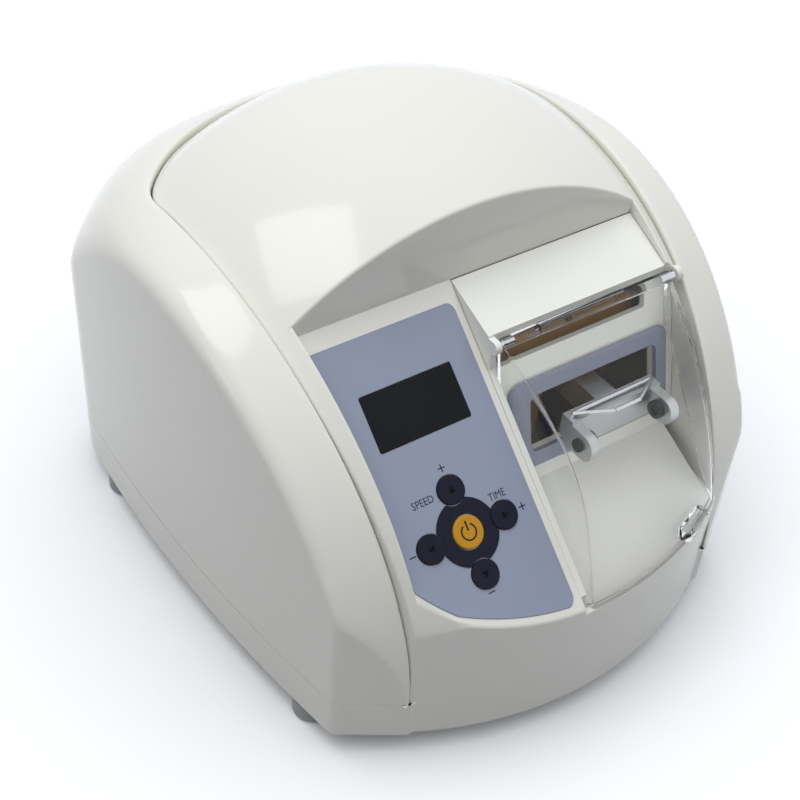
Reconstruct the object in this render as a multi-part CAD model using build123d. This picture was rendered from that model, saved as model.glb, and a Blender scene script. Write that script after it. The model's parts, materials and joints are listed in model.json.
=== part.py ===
from build123d import *
from math import cos, radians, sin, sqrt, tan
import os

# Dental amalgamator: a helmet-shaped bench mixer with a clear safety cover on its right.
# Millimetres. X to the right, front towards -Y, Z up, origin on the table under the middle.

os.makedirs("parts", exist_ok=True)

# ---------------------------------------------------------------- driving dimensions
WALL = 3.0
FIT_GAP = 0.3
FAR = 400.0

# plan of the housing: the sides, the rim and the panel lip are shallow bows in depth
BOW_Y = 35.0
SIDE_HALF = 106.0
SIDE_BOW = 700.0
RIM_HALF = 84.9
RIM_BOW = 720.0
LIP_HALF = 76.6
LIP_BOW = 1260.0
FENDER_Y = -86.6
FENDER_TIP_Y = -101.5
REAR_Y = 117.0
REAR_CORNER_RADIUS = 28.0
FRONT_CORNER_RADIUS = 5.0
BACK_RIM_RADIUS = 100.0
BACK_RIM_Y = 7.5
BACK_RIM_CORNER = 28.0
NOSE_FRONT_Y = -119.0
NOSE_RADIUS = 146.0
NOSE_CENTRE_Y = NOSE_FRONT_Y + NOSE_RADIUS

# levels
FOOT_HEIGHT = 9.0
PARTING_Z = 28.5
TRAY_FLOOR_Z = FOOT_HEIGHT + WALL

# domes: centre depth, centre height, half width, front reach, back reach, rise
OUTER_DOME = (28.0, PARTING_Z, 212.0, 137.0, 163.0, 141.8)
CENTRE_DOME = (36.4, 27.0, 148.0, 162.5, 109.0, 158.0)
CORNER_BALL_Y = 18.6
CORNER_BALL_Z = 51.2
CORNER_BALL_RADIUS = 144.8

# walls and bosses of the shells
FLANGE_THICKNESS = 2.4
FLANGE_DEPTH = 9.0
SKIRT_BACK_Y = -20.0
SKIRT_Z = 100.0
CHAMBER_SIDE_Y = -45.0
CHAMBER_SIDE_Z = 50.0
BOSS_RADIUS = 5.5
BOSS_TOP = 60.0
SHELL_BOSSES = [(-98.4, 45.0), (98.4, 45.0), (-95.0, -38.0), (95.0, -38.0)]
FRONT_BOSSES = [(-45.0, -103.4), (45.0, -103.4)]
VENT_ROWS = 8
VENT_LOW = 46.0
VENT_PITCH = 7.0
VENT_X = 52.0
VENT_LENGTH = 44.0
VENT_HEIGHT = 3.0

# bottom tray
TRAY_EDGE_RADIUS = 2.5
FEET = [(-90.0, -66.0), (90.0, -66.0), (-96.0, 76.0), (96.0, 76.0)]
FOOT_RADIUS = 8.0
FOOT_STEM_RADIUS = 3.0
TRANSIT_SCREWS = [(-30.0, -14.0), (38.0, 2.0)]
TRANSIT_RADIUS = 2.5
MOUNTS = [(-52.0, -34.0), (52.0, -34.0), (-52.0, 8.0), (52.0, 8.0)]
TRANSFORMER = (-74.0, -24.0, 36.0, 84.0)
BOARD = (-8.0, 84.0, 34.0, 100.0)
BOARD_Z = 20.0

# control panel plane: falls towards the front from the foot of the brow wall
BROW_Y = -23.9
BROW_Z = 144.4
PANEL_TILT = 41.85
PANEL_SIN = sin(radians(PANEL_TILT))
PANEL_COS = cos(radians(PANEL_TILT))

# mixing chamber in the right half
CHAMBER_LEFT = -9.6
CHAMBER_WALL = 2.5
HOOD_FRONT_Y = -47.9
HOOD_FRONT_Z = 135.0
BACK_WALL_TOP = (-46.5, 132.5)
BACK_WALL_FOOT = (-63.5, 68.0)
FLOOR_FRONT = (-114.6, 55.0)
COVER_LIP_Z = 57.5

# places on the chamber's back wall: X, and distance down the wall
SLOT_X = (-3.0, 64.5)
SLOT_DOWN = (1.8, 13.0)
WINDOW_X = (7.7, 68.4)
WINDOW_DOWN = (29.0, 53.0)
BEZEL_X = (-1.0, 74.5)
BEZEL_DOWN = (22.5, 60.0)
SLOT_BOARD_X = (2.0, 67.0)
SLOT_BOARD_DOWN = (-1.0, 25.5)
SLOT_BOARD_FRONT = -9.5
SLOT_BOARD_BACK = -11.1
SLOT_PILLARS_X = (7.0, 62.0)
SLOT_PILLAR_DOWN = 21.0
STAKE_RADIUS = 1.2
PLUNGER_X = 32.0
PLUNGER_DOWN = 7.9
PLUNGER_RADIUS = 1.2

# clear cover and its hinge
COVER_LEFT = -6.4
COVER_WALL = 2.4
COVER_RIGHT = 75.3
COVER_GAP = 2.1
COVER_STATIONS = [COVER_LEFT, 15.0, 36.0, 57.0, 82.0]
CHEEK_DEPTH = 9.0
CHEEK_BACK_Y = -53.0
TAB_X = 50.0
HINGE_Y = -50.6
HINGE_Z = 131.6
HINGE_PIN_RADIUS = 1.3
EAR_X = 76.1
EAR_THICKNESS = 2.4
EAR_RADIUS = 3.1
NOTCH_FRONT_Y = HINGE_Y - EAR_RADIUS - COVER_GAP

# drive: shaft along X, fork reaching forward through the window
HUB_X = 38.0
HUB_Y = -14.0
HUB_Z = 92.0
SHAFT_RADIUS = 3.0
SKEW_ANGLE = 7.0
MOTOR_SIZE = 48.0
MOTOR_LEFT = -58.0
MOTOR_RIGHT = 11.0
END_CAP_LENGTH = 16.0
MOTOR_BOLT_REACH = 18.5
BRACKET_THICKNESS = 3.0
BRACKET_INNER_X = 11.0
BRACKET_OUTER_X = 60.0
BRACKET_BASE_Z = 20.0
DRIVER_TABS_Z = (48.0, 86.0)
DRIVER_TAB_X = BRACKET_INNER_X + BRACKET_THICKNESS / 2
DRIVER_BOARD_Y = -39.8
FORK_REACH = 68.0
PRONG_HALF = 19.5
PRONG_THICKNESS = 4.0
CUP_Y = HUB_Y - 61.0
CUP_RADIUS = 3.6
CUP_DEPTH = 2.2
CUP_STEM_RADIUS = 1.5

# display and keys, measured on the panel plane from the foot of the brow wall
DISPLAY_LEFT = -61.4
DISPLAY_WIDTH = 38.5
DISPLAY_TOP = 26.6
DISPLAY_HEIGHT = 21.0
DISPLAY_CORNER = 1.0
KEY_CENTRE_X = -42.0
KEY_CENTRE_DROP = 83.7
KEY_SPACING = 15.7
KEY_RADIUS = 5.4
POWER_KEY_RADIUS = 6.0
KEY_DISC_RADIUS = 12.2
OVERLAY_THICKNESS = 0.4
OVERLAY_TOP = 7.7
OVERLAY_RIGHT = -12.8
OVERLAY_SIDE_GAP = 0.7
OVERLAY_FRONT_GAP = 2.2
OVERLAY_DOME_GAP = 1.0
OVERLAY_CORNER = 3.0
BOARD_DEPTH = 11.0
SWITCH_TOP_DEPTH = BOARD_DEPTH - 4.0
PILLARS = [(-60.0, 21.0), (-21.5, 21.0), (-55.0, 96.0), (-21.5, 96.0)]
KEY_PLACES = {
    "speed_up_key": (KEY_CENTRE_X, KEY_CENTRE_DROP - KEY_SPACING, KEY_RADIUS),
    "speed_down_key": (KEY_CENTRE_X - KEY_SPACING, KEY_CENTRE_DROP, KEY_RADIUS),
    "time_up_key": (KEY_CENTRE_X + KEY_SPACING, KEY_CENTRE_DROP, KEY_RADIUS),
    "time_down_key": (KEY_CENTRE_X, KEY_CENTRE_DROP + KEY_SPACING, KEY_RADIUS),
    "power_key": (KEY_CENTRE_X, KEY_CENTRE_DROP, POWER_KEY_RADIUS),
}

# rear sockets
INLET_X = -62.0
FUSE_X = -24.0
SWITCH_X = 4.0
SOCKET_Z = 56.0
ROCKER_AXIS_Y = REAR_Y - 4.0
ROCKER_TILT = 8.0
ROCKER_PIN_RADIUS = 1.2

# fasteners
SCREW_RADIUS = 2.0
SCREW_HEAD_RADIUS = 3.8
SCREW_HEAD_HEIGHT = 2.4


# ---------------------------------------------------------------- shared shape helpers
def save(name, shape):
    shape.label = name
    export_step(shape, "parts/" + name + ".step")


def bowed(half, bow, y):
    """Half width at depth y of an outline whose widest place is at BOW_Y."""
    return half - (y - BOW_Y) ** 2 / (2 * bow)


def bowed_band(half, bow, front_y, back_y):
    """Plan region between two mirrored side bows."""
    middle_y = (front_y + back_y) / 2
    left = ThreePointArc(
        (-bowed(half, bow, front_y), front_y),
        (-bowed(half, bow, middle_y), middle_y),
        (-bowed(half, bow, back_y), back_y),
    )
    right = ThreePointArc(
        (bowed(half, bow, back_y), back_y),
        (bowed(half, bow, middle_y), middle_y),
        (bowed(half, bow, front_y), front_y),
    )
    return make_face([left, Line(left @ 1, right @ 0), right, Line(right @ 1, left @ 0)])


def corners_near(face, y, tolerance=6.0):
    return face.vertices().filter_by(lambda v: abs(v.Y - y) < tolerance)


def column(face, low, high):
    return extrude(Pos(0, 0, low) * face, high - low)


def half_dome(toward, radius_x, radius_y, radius_z):
    """Half of an ellipsoid, on the front (-1) or the back (+1) of the plane y = 0."""
    ball = Sphere(1, arc_size1=0, arc_size2=90)
    turned = Rot(0, 90, 0) * (Rot(-90 * toward, 0, 0) * ball)
    stretched = scale(turned, by=(radius_x, radius_y, radius_z))
    shift = toward * radius_y / 2 - stretched.bounding_box().center().Y
    return Pos(0, shift, 0) * stretched


def dome(sizes, inset):
    """Dome from its six sizes, with its surface moved inwards by the inset."""
    centre_y, centre_z, half_width, front, back, rise = sizes
    ahead = half_dome(-1, half_width - inset, front - inset, rise - inset)
    behind = half_dome(1, half_width - inset, back - inset, rise - inset)
    return Pos(0, centre_y, centre_z) * (ahead + behind)


def box(x0, x1, y0, y1, z0, z1):
    return Pos((x0 + x1) / 2, (y0 + y1) / 2, (z0 + z1) / 2) * Box(x1 - x0, y1 - y0, z1 - z0)


def rod(radius, start, end):
    """Cylinder between two points."""
    start = Vector(*start)
    end = Vector(*end)
    axis = end - start
    plane = Plane(origin=start, z_dir=axis)
    return extrude(plane * Circle(radius), axis.length)


def tube(outer, inner, start, end):
    return rod(outer, start, end) - rod(inner, start, end)


def side_prism(points, x0, x1):
    """Prism along X whose section is given by (y, z) points."""
    section = Plane(origin=(x0, 0, 0), x_dir=(0, 1, 0), z_dir=(1, 0, 0))
    return extrude(section * make_face(Polyline(*points, close=True)), x1 - x0)


def panel_yz(drop, rise=0.0):
    """(y, z) of a place on the panel: drop down the slope, rise above the plane."""
    return (
        BROW_Y - drop * PANEL_COS - rise * PANEL_SIN,
        BROW_Z - drop * PANEL_SIN + rise * PANEL_COS,
    )


def on_panel(x, drop, rise=0.0):
    """Plane parallel to the panel, X to the right and Y up the slope."""
    y, z = panel_yz(drop, rise)
    return Plane(origin=(x, y, z), x_dir=(1, 0, 0), z_dir=(0, -PANEL_SIN, PANEL_COS))


def panel_disc(x, drop, low, high, radius):
    return extrude(on_panel(x, drop, low) * Circle(radius), high - low)


def panel_block(x0, x1, drop0, drop1, low, high, radius=0.0):
    width = x1 - x0
    height = drop1 - drop0
    shape = RectangleRounded(width, height, radius) if radius else Rectangle(width, height)
    return extrude(on_panel((x0 + x1) / 2, (drop0 + drop1) / 2, low) * shape, high - low)


# ---------------------------------------------------------------- plan outlines
def housing_plan():
    """Two side bows, a flat back with round corners, and fender faces turning inwards."""
    band = bowed_band(SIDE_HALF, SIDE_BOW, FENDER_Y, REAR_Y)
    band = fillet(corners_near(band, REAR_Y), REAR_CORNER_RADIUS)
    outer_x = bowed(SIDE_HALF, SIDE_BOW, FENDER_Y)
    tip_x = bowed(RIM_HALF, RIM_BOW, FENDER_TIP_Y)
    fenders = make_face(Polyline(
        (-outer_x, FENDER_Y), (-tip_x, FENDER_TIP_Y),
        (tip_x, FENDER_TIP_Y), (outer_x, FENDER_Y), close=True))
    plan = band + fenders
    return fillet(corners_near(plan, FENDER_Y, 0.1), FRONT_CORNER_RADIUS)


def rim_plan(grow=0.0):
    """Region inside the raised rim: open to the front, rounded off at the back."""
    band = bowed_band(RIM_HALF + grow, RIM_BOW + grow, -150.0, 115.0)
    round_back = Pos(0, BACK_RIM_Y) * Circle(BACK_RIM_RADIUS + grow)
    front = Pos(0, BACK_RIM_Y - FAR / 2) * Rectangle(FAR, FAR)
    plan = band & (round_back + front)
    back_corners = plan.vertices().filter_by(lambda v: 40.0 < v.Y < 90.0)
    return fillet(back_corners, BACK_RIM_CORNER + grow)


HOUSING_PLAN = housing_plan()
RIM_PLAN = rim_plan()
NOSE_PLAN = RIM_PLAN & Pos(0, NOSE_CENTRE_Y) * Circle(NOSE_RADIUS)


# ---------------------------------------------------------------- domes
def outer_dome(inset):
    """Flatter dome of the fenders and shoulders, rounded off at the rear corners."""
    ball = Rot(90, 0, 0) * Sphere(CORNER_BALL_RADIUS - inset)
    return dome(OUTER_DOME, inset) & Pos(0, CORNER_BALL_Y, CORNER_BALL_Z) * ball


def centre_dome(inset):
    """Fuller dome of the middle, which swells above the rim."""
    return dome(CENTRE_DOME, inset)


# ---------------------------------------------------------------- outer shell
def outer_shell():
    """Both sides, the back and the shoulders, with a raised rim round the middle."""
    flange_edge = rim_plan(FLANGE_THICKNESS)
    body = column(HOUSING_PLAN, PARTING_Z, 200.0) & outer_dome(0.0)
    body = body - column(RIM_PLAN, 0.0, 250.0)
    inside = offset(HOUSING_PLAN, -WALL) - flange_edge
    shell = body - (column(inside, PARTING_Z - 1, 200.0) & outer_dome(WALL))
    below_flange = column(flange_edge - RIM_PLAN, PARTING_Z - 1, 200.0) & centre_dome(FLANGE_DEPTH)
    chamber_side = box(60, 100, -110, CHAMBER_SIDE_Y, CHAMBER_SIDE_Z, 200)
    shell = shell - (below_flange - chamber_side)
    for x, y in SHELL_BOSSES:
        shell = shell + column(Pos(x, y) * Circle(BOSS_RADIUS), PARTING_Z, BOSS_TOP)
    for x, y in SHELL_BOSSES:
        shell = shell - column(Pos(x, y) * Circle(SCREW_RADIUS + 0.05), 0.0, BOSS_TOP - 2)
    for row in range(VENT_ROWS):
        z = VENT_LOW + row * VENT_PITCH
        slot = Plane(origin=(VENT_X, REAR_Y - 10, z), x_dir=(1, 0, 0), z_dir=(0, -1, 0))
        shell = shell - extrude(slot * SlotOverall(VENT_LENGTH, VENT_HEIGHT), -20)
    shell = shell - box(INLET_X - 14, INLET_X + 14, 110, 120, SOCKET_Z - 10.2, SOCKET_Z + 10.2)
    shell = shell - rod(6.2, (FUSE_X, 110, SOCKET_Z), (FUSE_X, 120, SOCKET_Z))
    shell = shell - box(SWITCH_X - 9.7, SWITCH_X + 9.7, 110, 120, SOCKET_Z - 6.6, SOCKET_Z + 6.6)
    return shell


# ---------------------------------------------------------------- front shell
def centre_form(inset, side_gap):
    form = column(rim_plan(-side_gap), PARTING_Z, 220.0) & centre_dome(inset)
    return form & column(Pos(0, NOSE_CENTRE_Y) * Circle(NOSE_RADIUS - inset), 0.0, 220.0)


def panel_cut(grow):
    """Space above the panel plane and in front of the brow wall, between the lips."""
    foot_y = BROW_Y + grow
    foot_z = BROW_Z - grow / PANEL_COS + grow * tan(radians(PANEL_TILT))
    front_y = -200.0
    front_z = foot_z - (foot_y - front_y) * tan(radians(PANEL_TILT))
    wedge = side_prism(
        [(foot_y, foot_z), (foot_y, 250.0), (front_y, 250.0), (front_y, front_z)],
        -120.0, 120.0)
    lips = column(bowed_band(LIP_HALF + grow, LIP_BOW, -200.0, 60.0), -50.0, 260.0)
    return wedge & lips


def front_shell():
    """Swelling middle of the housing: dome, brow wall, sunken panel deck and nose."""
    solid = centre_form(0.0, FIT_GAP) - panel_cut(0.0)
    hollow = centre_form(WALL, WALL) - panel_cut(WALL)
    foot = rim_plan(-WALL) & Pos(0, NOSE_CENTRE_Y) * Circle(NOSE_RADIUS - WALL)
    shell = solid - (hollow + column(foot, PARTING_Z - 2, PARTING_Z + 2))
    shell = shell - box(-120, 120, SKIRT_BACK_Y, 200, 0, SKIRT_Z)
    # opening for the mixing chamber
    lip_plan = bowed_band(LIP_HALF, LIP_BOW, -200.0, 60.0)
    right_of_panel = Pos(CHAMBER_LEFT - FIT_GAP + 100, BROW_Y - FIT_GAP - 100) * Rectangle(200, 200)
    shell = shell - column(lip_plan & right_of_panel, COVER_LIP_Z, 250.0)
    cover_side = Pos(CHAMBER_LEFT - FIT_GAP + 100, HOOD_FRONT_Y - 100) * Rectangle(200, 200)
    shell = shell - column(cover_side, COVER_LIP_Z, 250.0)
    shell = shell + hinge_ear(EAR_X, EAR_X + EAR_THICKNESS)
    # seat for the cover's lower edge along the nose
    seat = rim_plan(-FIT_GAP) & Pos(CHAMBER_LEFT - FIT_GAP + 100, -100) * Rectangle(200, 100)
    outside = Pos(0, NOSE_CENTRE_Y) * Circle(NOSE_RADIUS)
    inside = Pos(0, NOSE_CENTRE_Y) * Circle(NOSE_RADIUS - WALL)
    shell = shell + column((seat & outside) - inside, PARTING_Z + 12, COVER_LIP_Z)
    # display window and key holes
    shell = shell - panel_block(
        DISPLAY_LEFT, DISPLAY_LEFT + DISPLAY_WIDTH,
        DISPLAY_TOP, DISPLAY_TOP + DISPLAY_HEIGHT, -6, 3, DISPLAY_CORNER)
    for x, drop, radius in KEY_PLACES.values():
        shell = shell - panel_disc(x, drop, -6, 3, radius + FIT_GAP)
    for x, y in FRONT_BOSSES:
        shell = shell + column(Pos(x, y) * Circle(BOSS_RADIUS), PARTING_Z, 50.0)
    for x, y in FRONT_BOSSES:
        shell = shell - column(Pos(x, y) * Circle(SCREW_RADIUS + 0.05), 0.0, 48.0)
    return shell


def hinge_ear(x0, x1):
    """Rounded ear that carries one end of the cover's hinge."""
    ear = rod(EAR_RADIUS, (x0, HINGE_Y, HINGE_Z), (x1, HINGE_Y, HINGE_Z))
    ear = ear + box(x0, x1, HINGE_Y, HOOD_FRONT_Y + 1.5, HINGE_Z - EAR_RADIUS, HINGE_Z + 1.2)
    return ear - rod(HINGE_PIN_RADIUS + 0.05, (x0 - 1, HINGE_Y, HINGE_Z), (x1 - 0.6, HINGE_Y, HINGE_Z))


# ---------------------------------------------------------------- bottom tray and feet
def bottom_tray():
    """Shallow tray that closes the housing from below and carries everything."""
    outline = HOUSING_PLAN + NOSE_PLAN
    tray = column(outline, FOOT_HEIGHT, PARTING_Z)
    tray = fillet(tray.edges().group_by(Axis.Z)[0], TRAY_EDGE_RADIUS)
    inner = offset(HOUSING_PLAN, -WALL) + (rim_plan(-WALL) & Pos(0, NOSE_CENTRE_Y)
                                           * Circle(NOSE_RADIUS - WALL))
    tray = tray - column(inner, TRAY_FLOOR_Z, PARTING_Z + 1)
    for x, y in SHELL_BOSSES + FRONT_BOSSES:
        tray = tray + column(Pos(x, y) * Circle(BOSS_RADIUS), TRAY_FLOOR_Z, PARTING_Z)
    for x, y in SHELL_BOSSES + FRONT_BOSSES:
        tray = tray - column(Pos(x, y) * Circle(SCREW_RADIUS + 0.3), 0.0, PARTING_Z + 1)
        tray = tray - column(Pos(x, y) * Circle(SCREW_HEAD_RADIUS + 0.4), 0.0, TRAY_FLOOR_Z + 0.6)
    for x, y in TRANSIT_SCREWS:
        tray = tray - column(Pos(x, y) * Circle(TRANSIT_RADIUS + 0.4), 0.0, TRAY_FLOOR_Z + 1)
    for x, y in FEET:
        tray = tray - column(Pos(x, y) * Circle(FOOT_STEM_RADIUS), 0.0, TRAY_FLOOR_Z + 1)
    for x, y in board_corners():
        tray = tray + column(Pos(x, y) * Circle(4.0), TRAY_FLOOR_Z, BOARD_Z)
        tray = tray - column(Pos(x, y) * Circle(1.4), TRAY_FLOOR_Z, BOARD_Z + 1)
    for index in range(5):
        y = -30.0 + index * 9.0
        tray = tray - column(Pos(0, y) * SlotOverall(40.0, 3.0), 0.0, TRAY_FLOOR_Z + 1)
    return tray


def board_corners():
    x0, x1, y0, y1 = BOARD
    return [(x0 + 5, y0 + 5), (x1 - 5, y0 + 5), (x0 + 5, y1 - 5), (x1 - 5, y1 - 5)]


def rubber_foot(x, y):
    """Soft foot pressed through the tray floor by its stem."""
    pad = column(Pos(x, y) * Circle(FOOT_RADIUS), 0.0, FOOT_HEIGHT)
    pad = chamfer(pad.edges().group_by(Axis.Z)[0], 1.2)
    stem = column(Pos(x, y) * Circle(FOOT_STEM_RADIUS), FOOT_HEIGHT, TRAY_FLOOR_Z)
    barb = column(Pos(x, y) * Circle(FOOT_STEM_RADIUS + 1.6), TRAY_FLOOR_Z, TRAY_FLOOR_Z + 2.2)
    return pad + stem + barb


def pan_screw(x, y, top_z, head_z=TRAY_FLOOR_Z + 0.6):
    """Screw driven upwards from below, with a cross recess in its head."""
    head = column(Pos(x, y) * Circle(SCREW_HEAD_RADIUS), head_z - SCREW_HEAD_HEIGHT, head_z)
    recess = Rectangle(4.2, 0.9) + Rectangle(0.9, 4.2)
    head = head - column(Pos(x, y) * recess, head_z - SCREW_HEAD_HEIGHT, head_z - 1.0)
    return head + column(Pos(x, y) * Circle(SCREW_RADIUS), head_z, top_z)


def transit_screw(x, y):
    """Thumb-slotted screw that locks the drive for carriage."""
    head = column(Pos(x, y) * Circle(5.0), FOOT_HEIGHT - 3.2, FOOT_HEIGHT)
    head = head - column(Pos(x, y) * Rectangle(12, 1.2), FOOT_HEIGHT - 3.2, FOOT_HEIGHT - 2.0)
    return head + column(Pos(x, y) * Circle(TRANSIT_RADIUS), FOOT_HEIGHT, BRACKET_BASE_Z + 3)


# ---------------------------------------------------------------- mixing chamber
def back_wall_plane(x, down):
    """Plane on the front face of the chamber's back wall, Y axis up the wall."""
    run_y = BACK_WALL_FOOT[0] - BACK_WALL_TOP[0]
    run_z = BACK_WALL_FOOT[1] - BACK_WALL_TOP[1]
    length = sqrt(run_y ** 2 + run_z ** 2)
    origin = (x, BACK_WALL_TOP[0] + down * run_y / length, BACK_WALL_TOP[1] + down * run_z / length)
    return Plane(origin=origin, x_dir=(1, 0, 0), z_dir=(0, run_z / length, -run_y / length))


def back_wall_block(x_range, down_range, low, high, radius):
    width = x_range[1] - x_range[0]
    height = down_range[1] - down_range[0]
    plane = back_wall_plane(sum(x_range) / 2, sum(down_range) / 2)
    shape = RectangleRounded(width, height, radius)
    return extrude(plane.offset(low) * shape, high - low)


def back_wall_rod(radius, x, down, low, high):
    """Rod square to the back wall, between two distances in front of it."""
    plane = back_wall_plane(x, down)
    return extrude(plane.offset(low) * Circle(radius), high - low)


def chamber_liner():
    """Hood, side walls, leaning back wall with slot and window, and sloping floor."""
    t = CHAMBER_WALL
    side_points = [
        (BROW_Y - 0.5, BROW_Z - 0.6), (HOOD_FRONT_Y, HOOD_FRONT_Z), (HOOD_FRONT_Y, panel_yz(32.3)[1]),
        (FLOOR_FRONT[0], 62.6), FLOOR_FRONT, (BACK_WALL_FOOT[0] + 3, BACK_WALL_FOOT[1] - 2.4),
        (BACK_WALL_TOP[0], 120.0), (BROW_Y - 0.5, BROW_Z - 8.0)]
    left_wall = side_prism(side_points, CHAMBER_LEFT, CHAMBER_LEFT + t)
    hood = side_prism([
        (BROW_Y - 0.4, BROW_Z - 0.2), (HOOD_FRONT_Y, HOOD_FRONT_Z),
        (HOOD_FRONT_Y, HOOD_FRONT_Z - t - 0.2), (BROW_Y - 0.4, BROW_Z - t - 1.2)], CHAMBER_LEFT, 100)
    back_wall = side_prism([
        (BACK_WALL_TOP[0], BACK_WALL_TOP[1]), BACK_WALL_FOOT,
        (BACK_WALL_FOOT[0] + 2.6, BACK_WALL_FOOT[1] - t), (BACK_WALL_TOP[0] + 2.6, BACK_WALL_TOP[1]),
        ], CHAMBER_LEFT, 100)
    floor = side_prism([
        BACK_WALL_FOOT, FLOOR_FRONT, (FLOOR_FRONT[0], FLOOR_FRONT[1] - t),
        (BACK_WALL_FOOT[0] + 2.6, BACK_WALL_FOOT[1] - t)], CHAMBER_LEFT, 100)
    within_shell = rim_plan(-WALL - 6 * FIT_GAP)
    strip_y = HOOD_FRONT_Y - FIT_GAP
    lip_line = bowed_band(LIP_HALF - FIT_GAP, LIP_BOW, -200.0, 60.0)
    beside_cover = rim_plan(-FIT_GAP) & Pos(0, strip_y - 8) * Rectangle(250, 16)
    before_strip = within_shell & Pos(0, strip_y - 100) * Rectangle(250, 200)
    behind_strip = lip_line & Pos(0, strip_y + 20) * Rectangle(250, 40)
    room = column(beside_cover + before_strip + behind_strip, COVER_LIP_Z + FIT_GAP, 250.0)
    below_lip = column(within_shell, 0.0, COVER_LIP_Z + FIT_GAP)
    room = room + (below_lip & centre_dome(WALL + FIT_GAP))
    hood = hood & column(lip_line, 0.0, 250.0)
    liner = left_wall + hood + ((back_wall + floor) & room)
    nose_inside = column(Pos(0, NOSE_CENTRE_Y) * Circle(NOSE_RADIUS - WALL - FIT_GAP), 0.0, 250.0)
    liner = liner & nose_inside
    liner = liner - back_wall_block(SLOT_X, SLOT_DOWN, -8, 8, 1.0)
    liner = liner - back_wall_block(WINDOW_X, WINDOW_DOWN, -8, 8, 3.0)
    notch = extrude(back_wall_plane(0, 0).offset(-8) * make_face(Polyline(
        (-5.4, -6.8), (-5.4, -13.0), (-1.4, -13.0), close=True)), 16)
    liner = liner - notch
    for x in SLOT_PILLARS_X:
        liner = liner + back_wall_rod(2.5, x, SLOT_PILLAR_DOWN, SLOT_BOARD_FRONT, -1.0)
        liner = liner + back_wall_rod(STAKE_RADIUS, x, SLOT_PILLAR_DOWN, SLOT_BOARD_BACK - 0.6, -2.0)
    ear = rod(EAR_RADIUS - 0.4, (CHAMBER_LEFT, HINGE_Y, HINGE_Z), (CHAMBER_LEFT + t, HINGE_Y, HINGE_Z))
    liner = liner + ear + box(CHAMBER_LEFT, CHAMBER_LEFT + t, HINGE_Y, HOOD_FRONT_Y + 1, 122.0, HINGE_Z + 2.6)
    return liner - rod(HINGE_PIN_RADIUS + 0.05, (CHAMBER_LEFT + 0.6, HINGE_Y, HINGE_Z), (0, HINGE_Y, HINGE_Z))


def window_bezel():
    """Grey frame round the window that the fork reaches through."""
    frame = back_wall_block(BEZEL_X, BEZEL_DOWN, 0.0, 2.2, 5.0)
    frame = chamfer(frame.faces().sort_by(Axis.Y)[0].edges(), 1.0)
    return frame - back_wall_block(WINDOW_X, WINDOW_DOWN, -8, 8, 3.0)


# ---------------------------------------------------------------- clear cover
def cover_profile(x, inset):
    """Side profile of the cover at x: full at the left, falling away to the right."""
    share = (x - COVER_LEFT) / (COVER_STATIONS[-2] + 21.6 - COVER_LEFT)
    start_angle = radians(20.0 + 24.0 * share)
    start_reach = 58.0 - 28.0 * share
    end_angle = radians(17.0 - 5.0 * share)
    end_reach = 45.0 - 13.0 * share
    radius = NOSE_RADIUS - inset
    nose_y = NOSE_CENTRE_Y - sqrt(radius ** 2 - x ** 2)
    hinge = (HINGE_Y + 1.4, HINGE_Z + 2.0 - inset)
    lip = (nose_y, COVER_LIP_Z + FIT_GAP)
    leave = (hinge[0] - start_reach * cos(start_angle), hinge[1] - start_reach * sin(start_angle))
    arrive = (lip[0] + end_reach * sin(end_angle), lip[1] + end_reach * cos(end_angle))
    return hinge, leave, arrive, lip


def cover_form(inset, bottom_drop):
    sections = []
    for x in COVER_STATIONS:
        hinge, leave, arrive, lip = cover_profile(x, inset)
        low_front = (lip[0] + 3.6, COVER_LIP_Z + FIT_GAP - bottom_drop)
        low_back = (CHEEK_BACK_Y, panel_yz(38.5, -CHEEK_DEPTH)[1] - bottom_drop)
        plane = Plane(origin=(x, 0, 0), x_dir=(0, 1, 0), z_dir=(1, 0, 0))
        outline = make_face([
            Bezier(hinge, leave, arrive, lip), Line(lip, low_front),
            Line(low_front, low_back), Line(low_back, hinge)])
        sections.append(plane * outline)
    return loft(sections)


def cover_plan(inset):
    """Plan of the cover: flat left cheek, right cheek close to the rim with a hinge notch."""
    left = COVER_LEFT + inset
    right = COVER_RIGHT - inset
    beside_rim = bowed_band(RIM_HALF - COVER_GAP - inset, RIM_BOW, -130.0, NOTCH_FRONT_Y)
    behind = Pos((left + right) / 2, -45.0) * Rectangle(right - left, 30.0)
    front = Pos((left + right) / 2, -80) * Rectangle(right - left, 110)
    return (beside_rim & front) + behind


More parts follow.
